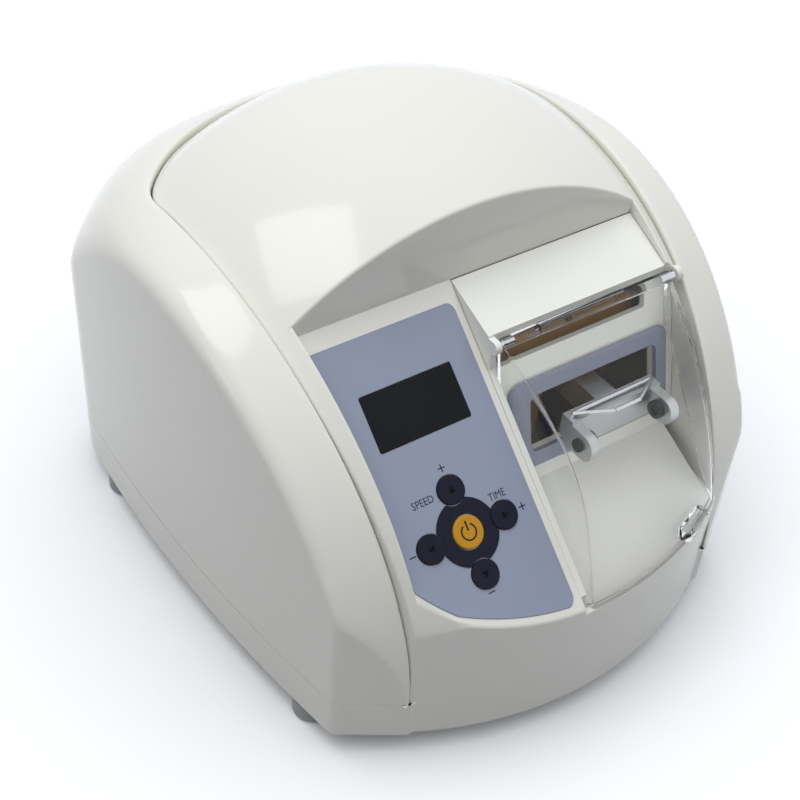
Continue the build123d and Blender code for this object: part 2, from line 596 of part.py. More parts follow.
def clear_cover():
    """Moulded clear cover: curved front, two cheeks, hinge bead, tongue and finger tab."""
    outer = cover_form(0.0, 0.0) & column(cover_plan(0.0), 0.0, 200.0)
    inner = cover_form(COVER_WALL, 30.0) & column(cover_plan(COVER_WALL), 0.0, 200.0)
    cover = outer - inner
    bead = rod(2.3, (COVER_LEFT, HINGE_Y, HINGE_Z), (COVER_RIGHT, HINGE_Y, HINGE_Z))
    tongue = side_prism([
        (HINGE_Y, HINGE_Z + 0.8), (HINGE_Y + 9.6, HINGE_Z - 5.6),
        (HINGE_Y + 9.0, HINGE_Z - 7.6), (HINGE_Y, HINGE_Z - 1.6)], 12.0, 52.0)
    end_lip = side_prism([
        (HINGE_Y + 9.6, HINGE_Z - 5.6), (HINGE_Y + 7.6, HINGE_Z - 8.2),
        (HINGE_Y + 6.2, HINGE_Z - 7.2), (HINGE_Y + 7.8, HINGE_Z - 5.0)], 12.0, 52.0)
    tab_y = NOSE_CENTRE_Y - sqrt(NOSE_RADIUS ** 2 - TAB_X ** 2)
    tab = Pos(TAB_X, tab_y + 1.6, COVER_LIP_Z + 5.0) * Rot(0, 0, 20) * Box(17, 7.0, 5.5)
    tab = fillet(tab.edges().filter_by(Axis.Z), 2.4)
    cover = cover + bead + tongue + end_lip + (tab - inner)
    for x in (COVER_LEFT, COVER_RIGHT):
        cover = cover - rod(HINGE_PIN_RADIUS, (x - 6, HINGE_Y, HINGE_Z), (x + 6, HINGE_Y, HINGE_Z))
    return cover


def cover_pin(x0, x1):
    return rod(HINGE_PIN_RADIUS, (x0, HINGE_Y, HINGE_Z), (x1, HINGE_Y, HINGE_Z))


# ---------------------------------------------------------------- control panel
def overlay_plan():
    """Plan of the printed overlay: close to the side lip, short of the nose, square at the top."""
    sides = bowed_band(LIP_HALF - OVERLAY_SIDE_GAP, LIP_BOW, -200.0, 60.0)
    front = Pos(0, NOSE_CENTRE_Y) * Circle(NOSE_RADIUS - OVERLAY_FRONT_GAP)
    corner = Pos(OVERLAY_RIGHT - FAR / 2, panel_yz(OVERLAY_TOP)[0] - FAR / 2) * Rectangle(FAR, FAR)
    plan = sides & front & corner
    return fillet(plan.vertices().filter_by(lambda v: v.X > OVERLAY_RIGHT - 1), OVERLAY_CORNER)


def panel_overlay():
    """Printed film on the sunken deck, cut out for the display and the keys."""
    sheet = panel_block(-120, 120, -20, 160, 0.0, OVERLAY_THICKNESS)
    overlay = sheet & column(overlay_plan(), 0.0, 200.0)
    overlay = overlay & centre_dome(OVERLAY_DOME_GAP)
    overlay = overlay - panel_block(
        DISPLAY_LEFT, DISPLAY_LEFT + DISPLAY_WIDTH,
        DISPLAY_TOP, DISPLAY_TOP + DISPLAY_HEIGHT, -1, 2, DISPLAY_CORNER)
    for x, drop, radius in KEY_PLACES.values():
        overlay = overlay - panel_disc(x, drop, -1, 2, radius + FIT_GAP)
    return overlay


def key_disc():
    """Dark raised disc behind the power key, notched where the arrow keys overlap it."""
    disc = panel_disc(KEY_CENTRE_X, KEY_CENTRE_DROP, OVERLAY_THICKNESS, 0.8, KEY_DISC_RADIUS)
    for x, drop, radius in KEY_PLACES.values():
        disc = disc - panel_disc(x, drop, -1, 2, radius + FIT_GAP)
    return disc


def key(name):
    """Round key: domed cap, retaining collar under the deck and a stem to its switch."""
    x, drop, radius = KEY_PLACES[name]
    cap = panel_disc(x, drop, -WALL - 0.4, 1.3, radius)
    cap = fillet(cap.edges().sort_by(Axis.Z)[-1], 0.6)
    collar = panel_disc(x, drop, -WALL - 1.6, -WALL - 0.4, radius + 1.2)
    stem = panel_disc(x, drop, -SWITCH_TOP_DEPTH + 0.9, -WALL - 1.6, 1.8)
    return cap + collar + stem


def display_window():
    gap = 0.15
    return panel_block(
        DISPLAY_LEFT + gap, DISPLAY_LEFT + DISPLAY_WIDTH - gap,
        DISPLAY_TOP + gap, DISPLAY_TOP + DISPLAY_HEIGHT - gap, -2.0, OVERLAY_THICKNESS - 0.05,
        DISPLAY_CORNER - gap)


def display_module():
    """Three-digit display block behind the window."""
    return panel_block(
        DISPLAY_LEFT + 1.5, DISPLAY_LEFT + DISPLAY_WIDTH - 1.5,
        DISPLAY_TOP + 1.5, DISPLAY_TOP + DISPLAY_HEIGHT - 1.5, -BOARD_DEPTH, -2.4)


def display_board():
    board = panel_block(-64.0, -17.0, 17.0, 104.0, -BOARD_DEPTH - 1.6, -BOARD_DEPTH)
    for x, drop in PILLARS:
        board = board - panel_disc(x, drop, -BOARD_DEPTH - 3, -BOARD_DEPTH + 1, 1.6)
    return board


def tact_switches():
    """Five board-mounted switches, one under each key."""
    switches = []
    for x, drop, radius in KEY_PLACES.values():
        body = panel_block(x - 3, x + 3, drop - 3, drop + 3, -BOARD_DEPTH, -BOARD_DEPTH + 3.2)
        switches.append(body + panel_disc(x, drop, -BOARD_DEPTH + 3.2, -SWITCH_TOP_DEPTH, 1.7))
    return Compound(switches)


def display_pillars():
    """Four spacers and screws in one piece each, between the deck and the board."""
    pillars = []
    for x, drop in PILLARS:
        post = panel_disc(x, drop, -BOARD_DEPTH, -WALL, 2.8)
        pin = panel_disc(x, drop, -BOARD_DEPTH - 1.6, -BOARD_DEPTH, 1.6)
        head = panel_disc(x, drop, -BOARD_DEPTH - 3.2, -BOARD_DEPTH - 1.6, 2.6)
        pillars.append(post + pin + head)
    return Compound(pillars)


# ---------------------------------------------------------------- drive
def motor_bracket():
    """Folded steel cradle: base plate with one upright each side of the fork hub."""
    base_top = BRACKET_BASE_Z + BRACKET_THICKNESS
    base = box(-64, 66, HUB_Y - 27, HUB_Y + 29, BRACKET_BASE_Z, base_top)
    uprights = []
    for x in (BRACKET_INNER_X, BRACKET_OUTER_X):
        plate = box(x, x + BRACKET_THICKNESS, HUB_Y - 24, HUB_Y + 24, base_top, HUB_Z + 10)
        plate = fillet(plate.edges().filter_by(Axis.X).group_by(Axis.Z)[-1], 10)
        uprights.append(plate)
    bracket = base + uprights[0] + uprights[1]
    for z in DRIVER_TABS_Z:
        bracket = bracket + rod(1.4, (DRIVER_TAB_X, HUB_Y - 22, z), (DRIVER_TAB_X, DRIVER_BOARD_Y, z))
        bracket = bracket + rod(1.0, (DRIVER_TAB_X, HUB_Y - 22, z), (DRIVER_TAB_X, DRIVER_BOARD_Y - 2.2, z))
    bracket = bracket - rod(8.1, (BRACKET_INNER_X - 5, HUB_Y, HUB_Z), (BRACKET_INNER_X + 5, HUB_Y, HUB_Z))
    bracket = bracket - rod(8.0, (BRACKET_OUTER_X - 5, HUB_Y, HUB_Z), (BRACKET_OUTER_X + 5, HUB_Y, HUB_Z))
    for x, y in MOUNTS:
        bracket = bracket - column(Pos(x, y) * Circle(3.0), BRACKET_BASE_Z - 1, base_top + 1)
    for x, y in TRANSIT_SCREWS:
        bracket = bracket - column(Pos(x, y) * Circle(TRANSIT_RADIUS), BRACKET_BASE_Z - 1, base_top + 1)
    for y, z in motor_bolt_places():
        bracket = bracket - rod(1.5, (BRACKET_INNER_X - 5, y, z), (BRACKET_INNER_X + 5, y, z))
    return bracket


def motor_bolt_places():
    reach = MOTOR_BOLT_REACH
    return [(HUB_Y + side * reach, HUB_Z + level * reach) for side in (-1, 1) for level in (-1, 1)]


def motor_bolts():
    """Four long bolts that clamp the motor to the inner upright."""
    bolts = []
    for y, z in motor_bolt_places():
        shank = rod(1.5, (MOTOR_LEFT, y, z), (BRACKET_INNER_X + 3, y, z))
        head = rod(2.8, (MOTOR_LEFT - 2.4, y, z), (MOTOR_LEFT, y, z))
        nut = rod(3.0, (BRACKET_INNER_X + 3, y, z), (BRACKET_INNER_X + 5.2, y, z))
        bolts.append(shank + head + nut)
    return Compound(bolts)


def rubber_mount(x, y):
    """Rubber bush between the tray floor and the cradle."""
    lower = column(Pos(x, y) * Circle(6.5), TRAY_FLOOR_Z, BRACKET_BASE_Z)
    neck = column(Pos(x, y) * Circle(3.0), BRACKET_BASE_Z, BRACKET_BASE_Z + 3)
    upper = column(Pos(x, y) * Circle(5.0), BRACKET_BASE_Z + 3, BRACKET_BASE_Z + 5.5)
    return lower + neck + upper


def motor_block(x0, x1):
    """Square block with cut corners and four bolt holes."""
    half = MOTOR_SIZE / 2
    block = box(x0, x1, HUB_Y - half, HUB_Y + half, HUB_Z - half, HUB_Z + half)
    block = chamfer(block.edges().filter_by(Axis.X), 6)
    for y, z in motor_bolt_places():
        block = block - rod(1.5, (x0 - 1, y, z), (x1 + 1, y, z))
    return block


def motor_stator():
    """Laminated stack with a round bore."""
    x0 = MOTOR_LEFT + END_CAP_LENGTH
    x1 = MOTOR_RIGHT - END_CAP_LENGTH
    return motor_block(x0, x1) - rod(14.3, (x0 - 1, HUB_Y, HUB_Z), (x1 + 1, HUB_Y, HUB_Z))


def motor_windings():
    """Varnished copper heads standing out of both ends of the stack."""
    left = MOTOR_LEFT + END_CAP_LENGTH
    right = MOTOR_RIGHT - END_CAP_LENGTH
    return Compound([
        tube(21.0, 15.5, (left - 11, HUB_Y, HUB_Z), (left, HUB_Y, HUB_Z)),
        tube(21.0, 15.5, (right, HUB_Y, HUB_Z), (right + 11, HUB_Y, HUB_Z))])


def motor_end_cap(inner_x, outer_x):
    """Cast end cap, hollow towards the stack, with a bearing seat in its end wall."""
    inward = 3.0 if inner_x > outer_x else -3.0
    cap = motor_block(min(inner_x, outer_x), max(inner_x, outer_x))
    cap = cap - rod(22.0, (inner_x, HUB_Y, HUB_Z), (outer_x + inward, HUB_Y, HUB_Z))
    return cap - rod(7.0, (inner_x, HUB_Y, HUB_Z), (outer_x - inward, HUB_Y, HUB_Z))


def rotor_core():
    x0 = MOTOR_LEFT + END_CAP_LENGTH
    x1 = MOTOR_RIGHT - END_CAP_LENGTH
    return tube(13.9, SHAFT_RADIUS, (x0, HUB_Y, HUB_Z), (x1, HUB_Y, HUB_Z))


def drive_shaft():
    return rod(SHAFT_RADIUS, (MOTOR_LEFT - 14, HUB_Y, HUB_Z), (BRACKET_OUTER_X + 4.5, HUB_Y, HUB_Z))


def shaft_bearing(x0, x1, outer):
    """Plain bearing ring round the shaft with a running gap."""
    return tube(outer, SHAFT_RADIUS + 0.05, (x0, HUB_Y, HUB_Z), (x1, HUB_Y, HUB_Z))


def cooling_fan():
    """Six-blade fan on the free end of the shaft."""
    x0 = MOTOR_LEFT - 12
    x1 = MOTOR_LEFT - 4
    fan = tube(7.0, SHAFT_RADIUS, (x0, HUB_Y, HUB_Z), (x1, HUB_Y, HUB_Z))
    for index in range(6):
        blade = Pos(0, 0, 14.0) * Rot(0, 0, 35) * Box(7.0, 1.4, 17.0)
        turned = Pos((x0 + x1) / 2, HUB_Y, HUB_Z) * Rot(index * 60, 0, 0) * blade
        fan = fan + turned
    return fan


def skewed(shape):
    """Tilt a piece built on the origin about the hub centre, as the skewed bush sits."""
    return Pos(HUB_X, HUB_Y, HUB_Z) * Rot(0, SKEW_ANGLE, 0) * shape


def skewed_bush():
    """Bush bored straight for the shaft but turned at an angle outside."""
    bush = skewed(Rot(0, 90, 0) * Cylinder(7.0, 18.0))
    return bush - rod(SHAFT_RADIUS, (0, HUB_Y, HUB_Z), (80, HUB_Y, HUB_Z))


def inner_race():
    """Ball-shaped inner race seated on the skewed bush."""
    ball = Sphere(11.0) & Box(10.0, 40.0, 40.0)
    return skewed(ball - Rot(0, 90, 0) * Cylinder(7.0, 30.0))


def outer_race():
    """Outer race with a hollow sphere inside, so that it can rock on the inner race."""
    ring = Rot(0, 90, 0) * Cylinder(15.0, 8.0)
    return Pos(HUB_X, HUB_Y, HUB_Z) * (ring - Sphere(11.3))


def capsule_fork():
    """Hub ring, arm through the window and two prongs that grip the capsule ends."""
    x, y, z = HUB_X, HUB_Y, HUB_Z
    hub = rod(19.5, (x - 5, y, z), (x + 5, y, z))
    arm = box(x - 5, x + 5, y - 52, y - 10, z - 6, z + 6)
    tail = box(x - 3, x + 3, y - 2, y + 2, z - 26, z - 10)
    tail = tail - rod(1.3, (x, y - 5, z - 23), (x, y + 5, z - 23))
    half = PRONG_HALF + PRONG_THICKNESS / 2
    bar = box(x - half, x + half, y - 56, y - 50, z - 7, z + 7)
    fork = hub + arm + tail + bar
    for side in (-1, 1):
        middle = x + side * PRONG_HALF
        prong = box(
            middle - PRONG_THICKNESS / 2, middle + PRONG_THICKNESS / 2,
            y - FORK_REACH, y - 54, z - 5.5, z + 5.5)
        fork = fork + fillet(prong.edges().filter_by(Axis.X).group_by(Axis.Y)[0], 5.0)
    fork = fork - rod(CUP_STEM_RADIUS + 0.05, (x - 30, CUP_Y, z), (x + 30, CUP_Y, z))
    return fork - rod(15.0, (x - 8, y, z), (x + 8, y, z))


def capsule_cups():
    """Black rubber cup on the inside of each prong, with its stem and outer button."""
    z = HUB_Z
    cups = []
    for side in (-1, 1):
        inner = HUB_X + side * (PRONG_HALF - PRONG_THICKNESS / 2)
        outer = HUB_X + side * (PRONG_HALF + PRONG_THICKNESS / 2)
        face = inner - side * CUP_DEPTH
        cup = rod(CUP_RADIUS, (inner, CUP_Y, z), (face, CUP_Y, z))
        cup = cup - rod(2.0, (face + side * 1.2, CUP_Y, z), (face - side * 2, CUP_Y, z))
        cup = cup + rod(CUP_STEM_RADIUS, (inner, CUP_Y, z), (outer + side, CUP_Y, z))
        cups.append(cup + rod(2.6, (outer, CUP_Y, z), (outer + side * 1.2, CUP_Y, z)))
    return Compound(cups)


def capsule_clip():
    """Spring wire across the prongs that snaps over a capsule."""
    x, y, z = HUB_X, HUB_Y, HUB_Z
    top_z = z + 8.4
    front_y = y - FORK_REACH + 7
    half = PRONG_HALF
    clip = rod(0.8, (x - half, y - 53, top_z), (x + half, y - 53, top_z))
    for side in (-1, 1):
        clip = clip + rod(0.8, (x + side * half, y - 53, z + 7.0), (x + side * half, y - 53, top_z))
        clip = clip + rod(0.8, (x + side * half, y - 53, top_z), (x + side * 6, front_y, top_z + 1.5))
    return clip + rod(0.8, (x - 6, front_y, top_z + 1.5), (x + 6, front_y, top_z + 1.5))


def restraint_spring():
    """Tension spring, drawn as a sleeve, that stops the fork from turning with the shaft."""
    x, y = HUB_X, HUB_Y
    hook_y = y - 3.4
    hole_z = HUB_Z - 23
    base_z = BRACKET_BASE_Z + BRACKET_THICKNESS
    coil = tube(4.0, 2.8, (x, y, base_z + 5), (x, y, hole_z - 9))
    lower = rod(0.55, (x, hook_y, base_z), (x, hook_y, base_z + 7))
    upper = rod(0.55, (x, hook_y, hole_z - 11), (x, hook_y, hole_z))
    return coil + lower + upper + rod(0.55, (x, hook_y, hole_z), (x, y + 3.4, hole_z))


def slot_board():
    """Brown board behind the slot that carries the cover's switch."""
    board = back_wall_block(SLOT_BOARD_X, SLOT_BOARD_DOWN, SLOT_BOARD_BACK, SLOT_BOARD_FRONT, 1.0)
    for x in SLOT_PILLARS_X:
        board = board - back_wall_rod(STAKE_RADIUS + 0.05, x, SLOT_PILLAR_DOWN, -15, -5)
    return board - back_wall_rod(PLUNGER_RADIUS + 0.4, PLUNGER_X, PLUNGER_DOWN, -15, -5)


def interlock_switch():
    """Snap switch on the back of the slot board, worked by the cover's tongue."""
    body = back_wall_block((22.0, 42.0), (2.0, 12.0), SLOT_BOARD_BACK - 6.5, SLOT_BOARD_BACK, 0.6)
    return body - back_wall_rod(PLUNGER_RADIUS + 0.05, PLUNGER_X, PLUNGER_DOWN, SLOT_BOARD_BACK - 3, 0)


def interlock_plunger():
    return back_wall_rod(PLUNGER_RADIUS, PLUNGER_X, PLUNGER_DOWN, SLOT_BOARD_BACK - 2.8, -7.4)


def driver_board():
    """Brown board standing in front of the motor, on two tabs of the bracket."""
    board = box(-6.0, 27.0, DRIVER_BOARD_Y - 1.6, DRIVER_BOARD_Y, 34.0, 105.0)
    for z in DRIVER_TABS_Z:
        board = board - rod(1.05, (DRIVER_TAB_X, -50, z), (DRIVER_TAB_X, -30, z))
    return board


# ---------------------------------------------------------------- electrics
def transformer():
    x0, x1, y0, y1 = TRANSFORMER
    core = box(x0, x1, y0 + 8, y1 - 8, TRAY_FLOOR_Z, TRAY_FLOOR_Z + 42)
    coil = box(x0 + 8, x1 - 8, y0, y1, TRAY_FLOOR_Z + 7, TRAY_FLOOR_Z + 35)
    feet = box(x0 - 8, x1 + 8, y0 + 16, y1 - 16, TRAY_FLOOR_Z, TRAY_FLOOR_Z + 1.5)
    return core + coil + feet


def main_board():
    x0, x1, y0, y1 = BOARD
    board = box(x0, x1, y0, y1, BOARD_Z, BOARD_Z + 1.6)
    for x, y in board_corners():
        board = board - column(Pos(x, y) * Circle(1.8), BOARD_Z - 1, BOARD_Z + 3)
    return board


def board_screws():
    screws = []
    for x, y in board_corners():
        shank = column(Pos(x, y) * Circle(1.35), BOARD_Z - 6, BOARD_Z + 1.6)
        screws.append(shank + column(Pos(x, y) * Circle(3.0), BOARD_Z + 1.6, BOARD_Z + 3.6))
    return Compound(screws)


def board_parts():
    """Heat sink, reservoir capacitors, relay and terminal block on the main board."""
    top = BOARD_Z + 1.6
    sink = box(4, 30, 84, 88, top, top + 24)
    for index in range(6):
        sink = sink + box(5 + index * 4.6, 6.4 + index * 4.6, 88, 96, top, top + 24)
    can_one = rod(8.0, (20, 60, top), (20, 60, top + 26))
    can_two = rod(6.0, (38, 60, top), (38, 60, top + 18))
    relay = box(50, 69, 52, 68, top, top + 15)
    terminals = box(14, 54, 40, 48, top, top + 10)
    return Compound([sink, can_one, can_two, relay, terminals])


def mains_inlet():
    """Three-pin appliance inlet with its flange on the outside of the back."""
    y0 = REAR_Y
    flange = Pos(INLET_X, y0 + 0.9, SOCKET_Z) * Rot(90, 0, 0) * extrude(
        RectangleRounded(48, 22, 4), 0.9, both=True)
    body = box(INLET_X - 13.7, INLET_X + 13.7, y0 - 16, y0, SOCKET_Z - 9.9, SOCKET_Z + 9.9)
    well = box(INLET_X - 12, INLET_X + 12, y0 - 13, y0 + 3, SOCKET_Z - 8, SOCKET_Z + 8)
    inlet = flange + body - well
    for dx, dz in ((-7, -1.5), (0, 2.5), (7, -1.5)):
        pin = box(INLET_X + dx - 1, INLET_X + dx + 1, y0 - 13, y0 - 4, SOCKET_Z + dz - 2, SOCKET_Z + dz + 2)
        inlet = inlet + pin
    for dx in (-20, 20):
        inlet = inlet - rod(1.7, (INLET_X + dx, y0 - 5, SOCKET_Z), (INLET_X + dx, y0 + 5, SOCKET_Z))
    return inlet


def inlet_screws():
    screws = []
    for dx in (-20, 20):
        head = rod(2.9, (INLET_X + dx, REAR_Y + 1.8, SOCKET_Z), (INLET_X + dx, REAR_Y + 2.0, SOCKET_Z))
        shank = rod(1.6, (INLET_X + dx, REAR_Y, SOCKET_Z), (INLET_X + dx, REAR_Y + 1.8, SOCKET_Z))
        screws.append(head + shank)
    return Compound(screws)


def fuse_holder():
    body = rod(6.1, (FUSE_X, REAR_Y - 22, SOCKET_Z), (FUSE_X, REAR_Y, SOCKET_Z))
    flange = rod(8.0, (FUSE_X, REAR_Y, SOCKET_Z), (FUSE_X, REAR_Y + 1.0, SOCKET_Z))
    return body + flange - rod(4.2, (FUSE_X, REAR_Y - 18, SOCKET_Z), (FUSE_X, REAR_Y + 2, SOCKET_Z))


def fuse_cap():
    stem = rod(4.1, (FUSE_X, REAR_Y - 12, SOCKET_Z), (FUSE_X, REAR_Y + 1.0, SOCKET_Z))
    head = rod(6.0, (FUSE_X, REAR_Y + 1.0, SOCKET_Z), (FUSE_X, REAR_Y + 2.0, SOCKET_Z))
    slot = box(FUSE_X - 4, FUSE_X + 4, REAR_Y + 1.2, REAR_Y + 3, SOCKET_Z - 0.6, SOCKET_Z + 0.6)
    return stem + head - slot


def switch_frame():
    x, y0, z = SWITCH_X, REAR_Y, SOCKET_Z
    flange = box(x - 11, x + 11, y0, y0 + 1.2, z - 8, z + 8)
    body = box(x - 9.5, x + 9.5, y0 - 16, y0, z - 6.4, z + 6.4)
    well = box(x - 8.4, x + 8.4, y0 - 11, y0 + 3, z - 5.2, z + 5.2)
    frame = flange + body - well
    pin_hole = rod(ROCKER_PIN_RADIUS + 0.05, (x, ROCKER_AXIS_Y, z - 6.1), (x, ROCKER_AXIS_Y, z + 6.1))
    return frame - pin_hole


def rocker():
    """Rocker on two pins, resting with its right end pressed in."""
    x, z = SWITCH_X, SOCKET_Z
    outline = [(-7.6, 0), (-7.6, 3.4), (0, 4.2), (7.6, 3.4), (7.6, 0), (0, -3)]
    block = extrude(Pos(0, 0, -4.9) * make_face(Polyline(*outline, close=True)), 9.8)
    block = block + rod(ROCKER_PIN_RADIUS, (0, 0, -6.0), (0, 0, 6.0))
    return Pos(x, ROCKER_AXIS_Y, z) * Rot(0, 0, ROCKER_TILT) * block


# ---------------------------------------------------------------- write the pieces
def build_all():
    save("outer_shell", outer_shell())
    save("front_shell", front_shell())
    save("bottom_tray", bottom_tray())
    save("rubber_feet", Compound([rubber_foot(x, y) for x, y in FEET]))
    screws = [pan_screw(x, y, BOSS_TOP - 14) for x, y in SHELL_BOSSES]
    screws = screws + [pan_screw(x, y, 44.0) for x, y in FRONT_BOSSES]
    save("housing_screws", Compound(screws))
    save("transit_screws", Compound([transit_screw(x, y) for x, y in TRANSIT_SCREWS]))
    save("chamber_liner", chamber_liner())
    save("window_bezel", window_bezel())
    save("clear_cover", clear_cover())
    left_pin = cover_pin(CHAMBER_LEFT + 0.8, COVER_LEFT + 6)
    right_pin = cover_pin(COVER_RIGHT - 6, EAR_X + EAR_THICKNESS - 0.8)
    save("cover_hinge_pins", Compound([left_pin, right_pin]))
    save("panel_overlay", panel_overlay())
    save("key_disc", key_disc())
    for name in KEY_PLACES:
        save(name, key(name))
    save("display_window", display_window())
    save("display_module", display_module())
    save("display_board", display_board())
    save("tact_switches", tact_switches())
    save("display_pillars", display_pillars())
    save("motor_bracket", motor_bracket())
    save("rubber_mounts", Compound([rubber_mount(x, y) for x, y in MOUNTS]))
    save("motor_stator", motor_stator())
    save("motor_windings", motor_windings())
    save("motor_rear_cap", motor_end_cap(MOTOR_LEFT + END_CAP_LENGTH, MOTOR_LEFT))
    save("motor_front_cap", motor_end_cap(MOTOR_RIGHT - END_CAP_LENGTH, MOTOR_RIGHT))
    save("motor_bolts", motor_bolts())
    save("rotor_core", rotor_core())
    save("drive_shaft", drive_shaft())
    save("rear_bearing", shaft_bearing(MOTOR_LEFT, MOTOR_LEFT + 4, 7.0))
    save("front_bearing", shaft_bearing(MOTOR_RIGHT - 4, MOTOR_RIGHT, 7.0))
    save("outboard_bearing", shaft_bearing(BRACKET_OUTER_X, BRACKET_OUTER_X + 3, 8.0))
    save("cooling_fan", cooling_fan())
    save("skewed_bush", skewed_bush())
    save("inner_race", inner_race())
    save("outer_race", outer_race())
    save("capsule_fork", capsule_fork())
    save("capsule_cups", capsule_cups())
    save("capsule_clip", capsule_clip())
    save("restraint_spring", restraint_spring())
    save("slot_board", slot_board())
    save("interlock_switch", interlock_switch())
    save("interlock_plunger", interlock_plunger())
    save("driver_board", driver_board())
    save("transformer", transformer())
    save("main_board", main_board())
    save("board_screws", board_screws())
    save("board_parts", board_parts())
    save("mains_inlet", mains_inlet())
    save("inlet_screws", inlet_screws())
    save("fuse_holder", fuse_holder())
    save("fuse_cap", fuse_cap())
    save("switch_frame", switch_frame())
    save("rocker", rocker())


build_all()
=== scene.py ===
import json
from math import atan2, cos, hypot, pi, radians, sin, sqrt

import bmesh
import bpy
from mathutils import Matrix, Vector


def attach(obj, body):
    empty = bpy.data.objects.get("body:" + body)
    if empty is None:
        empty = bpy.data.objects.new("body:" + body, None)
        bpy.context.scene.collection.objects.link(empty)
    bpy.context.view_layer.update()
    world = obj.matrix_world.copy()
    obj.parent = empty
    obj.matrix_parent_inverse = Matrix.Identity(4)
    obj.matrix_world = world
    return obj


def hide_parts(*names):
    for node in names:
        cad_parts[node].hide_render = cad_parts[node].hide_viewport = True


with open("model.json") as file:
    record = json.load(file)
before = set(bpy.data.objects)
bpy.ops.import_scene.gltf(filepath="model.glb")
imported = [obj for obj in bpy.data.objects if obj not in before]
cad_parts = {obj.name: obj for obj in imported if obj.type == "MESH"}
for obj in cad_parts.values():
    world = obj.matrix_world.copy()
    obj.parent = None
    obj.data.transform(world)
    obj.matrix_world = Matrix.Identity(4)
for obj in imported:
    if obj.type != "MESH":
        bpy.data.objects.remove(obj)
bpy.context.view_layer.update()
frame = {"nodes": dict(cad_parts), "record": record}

# Sizes are in millimetres, as on the drawing, and meshes are written in metres.
MM = 0.001

# ---------------------------------------------------------------- driving dimensions
# Sides, rim and lip are long bows: half width where they are widest, at BOW_Y, and radius.
BOW_Y = 35.0
SIDE_HALF, SIDE_BOW = 106.0, 700.0
RIM_HALF, RIM_BOW = 84.9, 720.0
LIP_HALF, LIP_BOW = 76.6, 1260.0
TIP_Y, FENDER_Y = -101.5, -84.0
PARTING_Z = 28.5

# Domes of fenders and shoulders, a ball that rounds their rear corners, and the fuller middle.
SHOULDER_HALF, SHOULDER_RISE, SHOULDER_Y = 212.0, 141.8, 28.0
SHOULDER_FRONT, SHOULDER_BACK = 137.0, 163.0
BALL_RADIUS, BALL_Y, BALL_Z, BALL_BLEND = 144.8, 18.6, 51.2, 7.0
MIDDLE_HALF, MIDDLE_RISE, MIDDLE_Y, MIDDLE_Z = 148.0, 158.0, 36.4, 27.0
MIDDLE_FRONT, MIDDLE_BACK = 162.5, 109.0

# Back of the rim and of the housing, with their round corners.
RIM_BACK, RIM_BACK_Y, ROUND_CORNER = 100.0, 7.5, 28.0
REAR_Y, REAR_FLAT, SIDE_END_Y = 117.0, 75.8, 91.2
RIM_REAR_Y = 107.5

# Panel, nose, mixing chamber, cover and keys.
BROW_Y, BROW_Z = -23.9, 144.4
PANEL_SIN, PANEL_COS = sin(radians(41.85)), cos(radians(41.85))
NOSE_RADIUS = 146.0
NOSE_CENTRE_Y = -119.0 + NOSE_RADIUS
CHAMBER_LEFT = -9.6
HOOD_FRONT_Y = -47.9
COVER_LIP_Z = 57.5
COVER_LEFT = -6.4
COVER_RIGHT = 75.3
COVER_GAP = 2.1
HINGE_Y, HINGE_Z = -50.6, 131.6
OVERLAY_TOP_RISE, KEY_TOP_RISE = 0.4, 1.3
KEY_X, KEY_DROP, KEY_SPACING = -42.0, 83.7, 15.7

# Wall edges: seam between the shells, their edge radius and the depth of the rim's inner wall.
SEAM, EDGE_ROUND, RIM_DEPTH = 0.5, 0.9, 9.0

# Strength of the sky, and the point at which lamps aim, in metres.
SKY, LAMP_TARGET = 1.85, (0, 0, 0.1)


# ---------------------------------------------------------------- mesh helpers
def mesh_of(name, verts, faces):
    """Mesh in metres from points in millimetres."""
    mesh = bpy.data.meshes.new(name)
    mesh.from_pydata([(x * MM, y * MM, z * MM) for x, y, z in verts], [], faces)
    return mesh


def placed(name, data):
    """Object in the scene for a mesh, curve, lamp or camera."""
    obj = bpy.data.objects.new(name, data)
    bpy.context.scene.collection.objects.link(obj)
    return obj


def evaluated_mesh(holder):
    """Mesh of an object as its modifiers or its text shape it."""
    seen = holder.evaluated_get(bpy.context.evaluated_depsgraph_get())
    return bpy.data.meshes.new_from_object(seen)


def grid_faces(rows, columns, start=0, closed=False, flip=False):
    """Quads between successive rows of points."""
    faces = []
    last = columns if closed else columns - 1
    for i in range(rows - 1):
        for j in range(last):
            a = start + i * columns + j
            b = start + i * columns + (j + 1) % columns
            quad = (a, b, b + columns, a + columns)
            faces.append(quad[::-1] if flip else quad)
    return faces


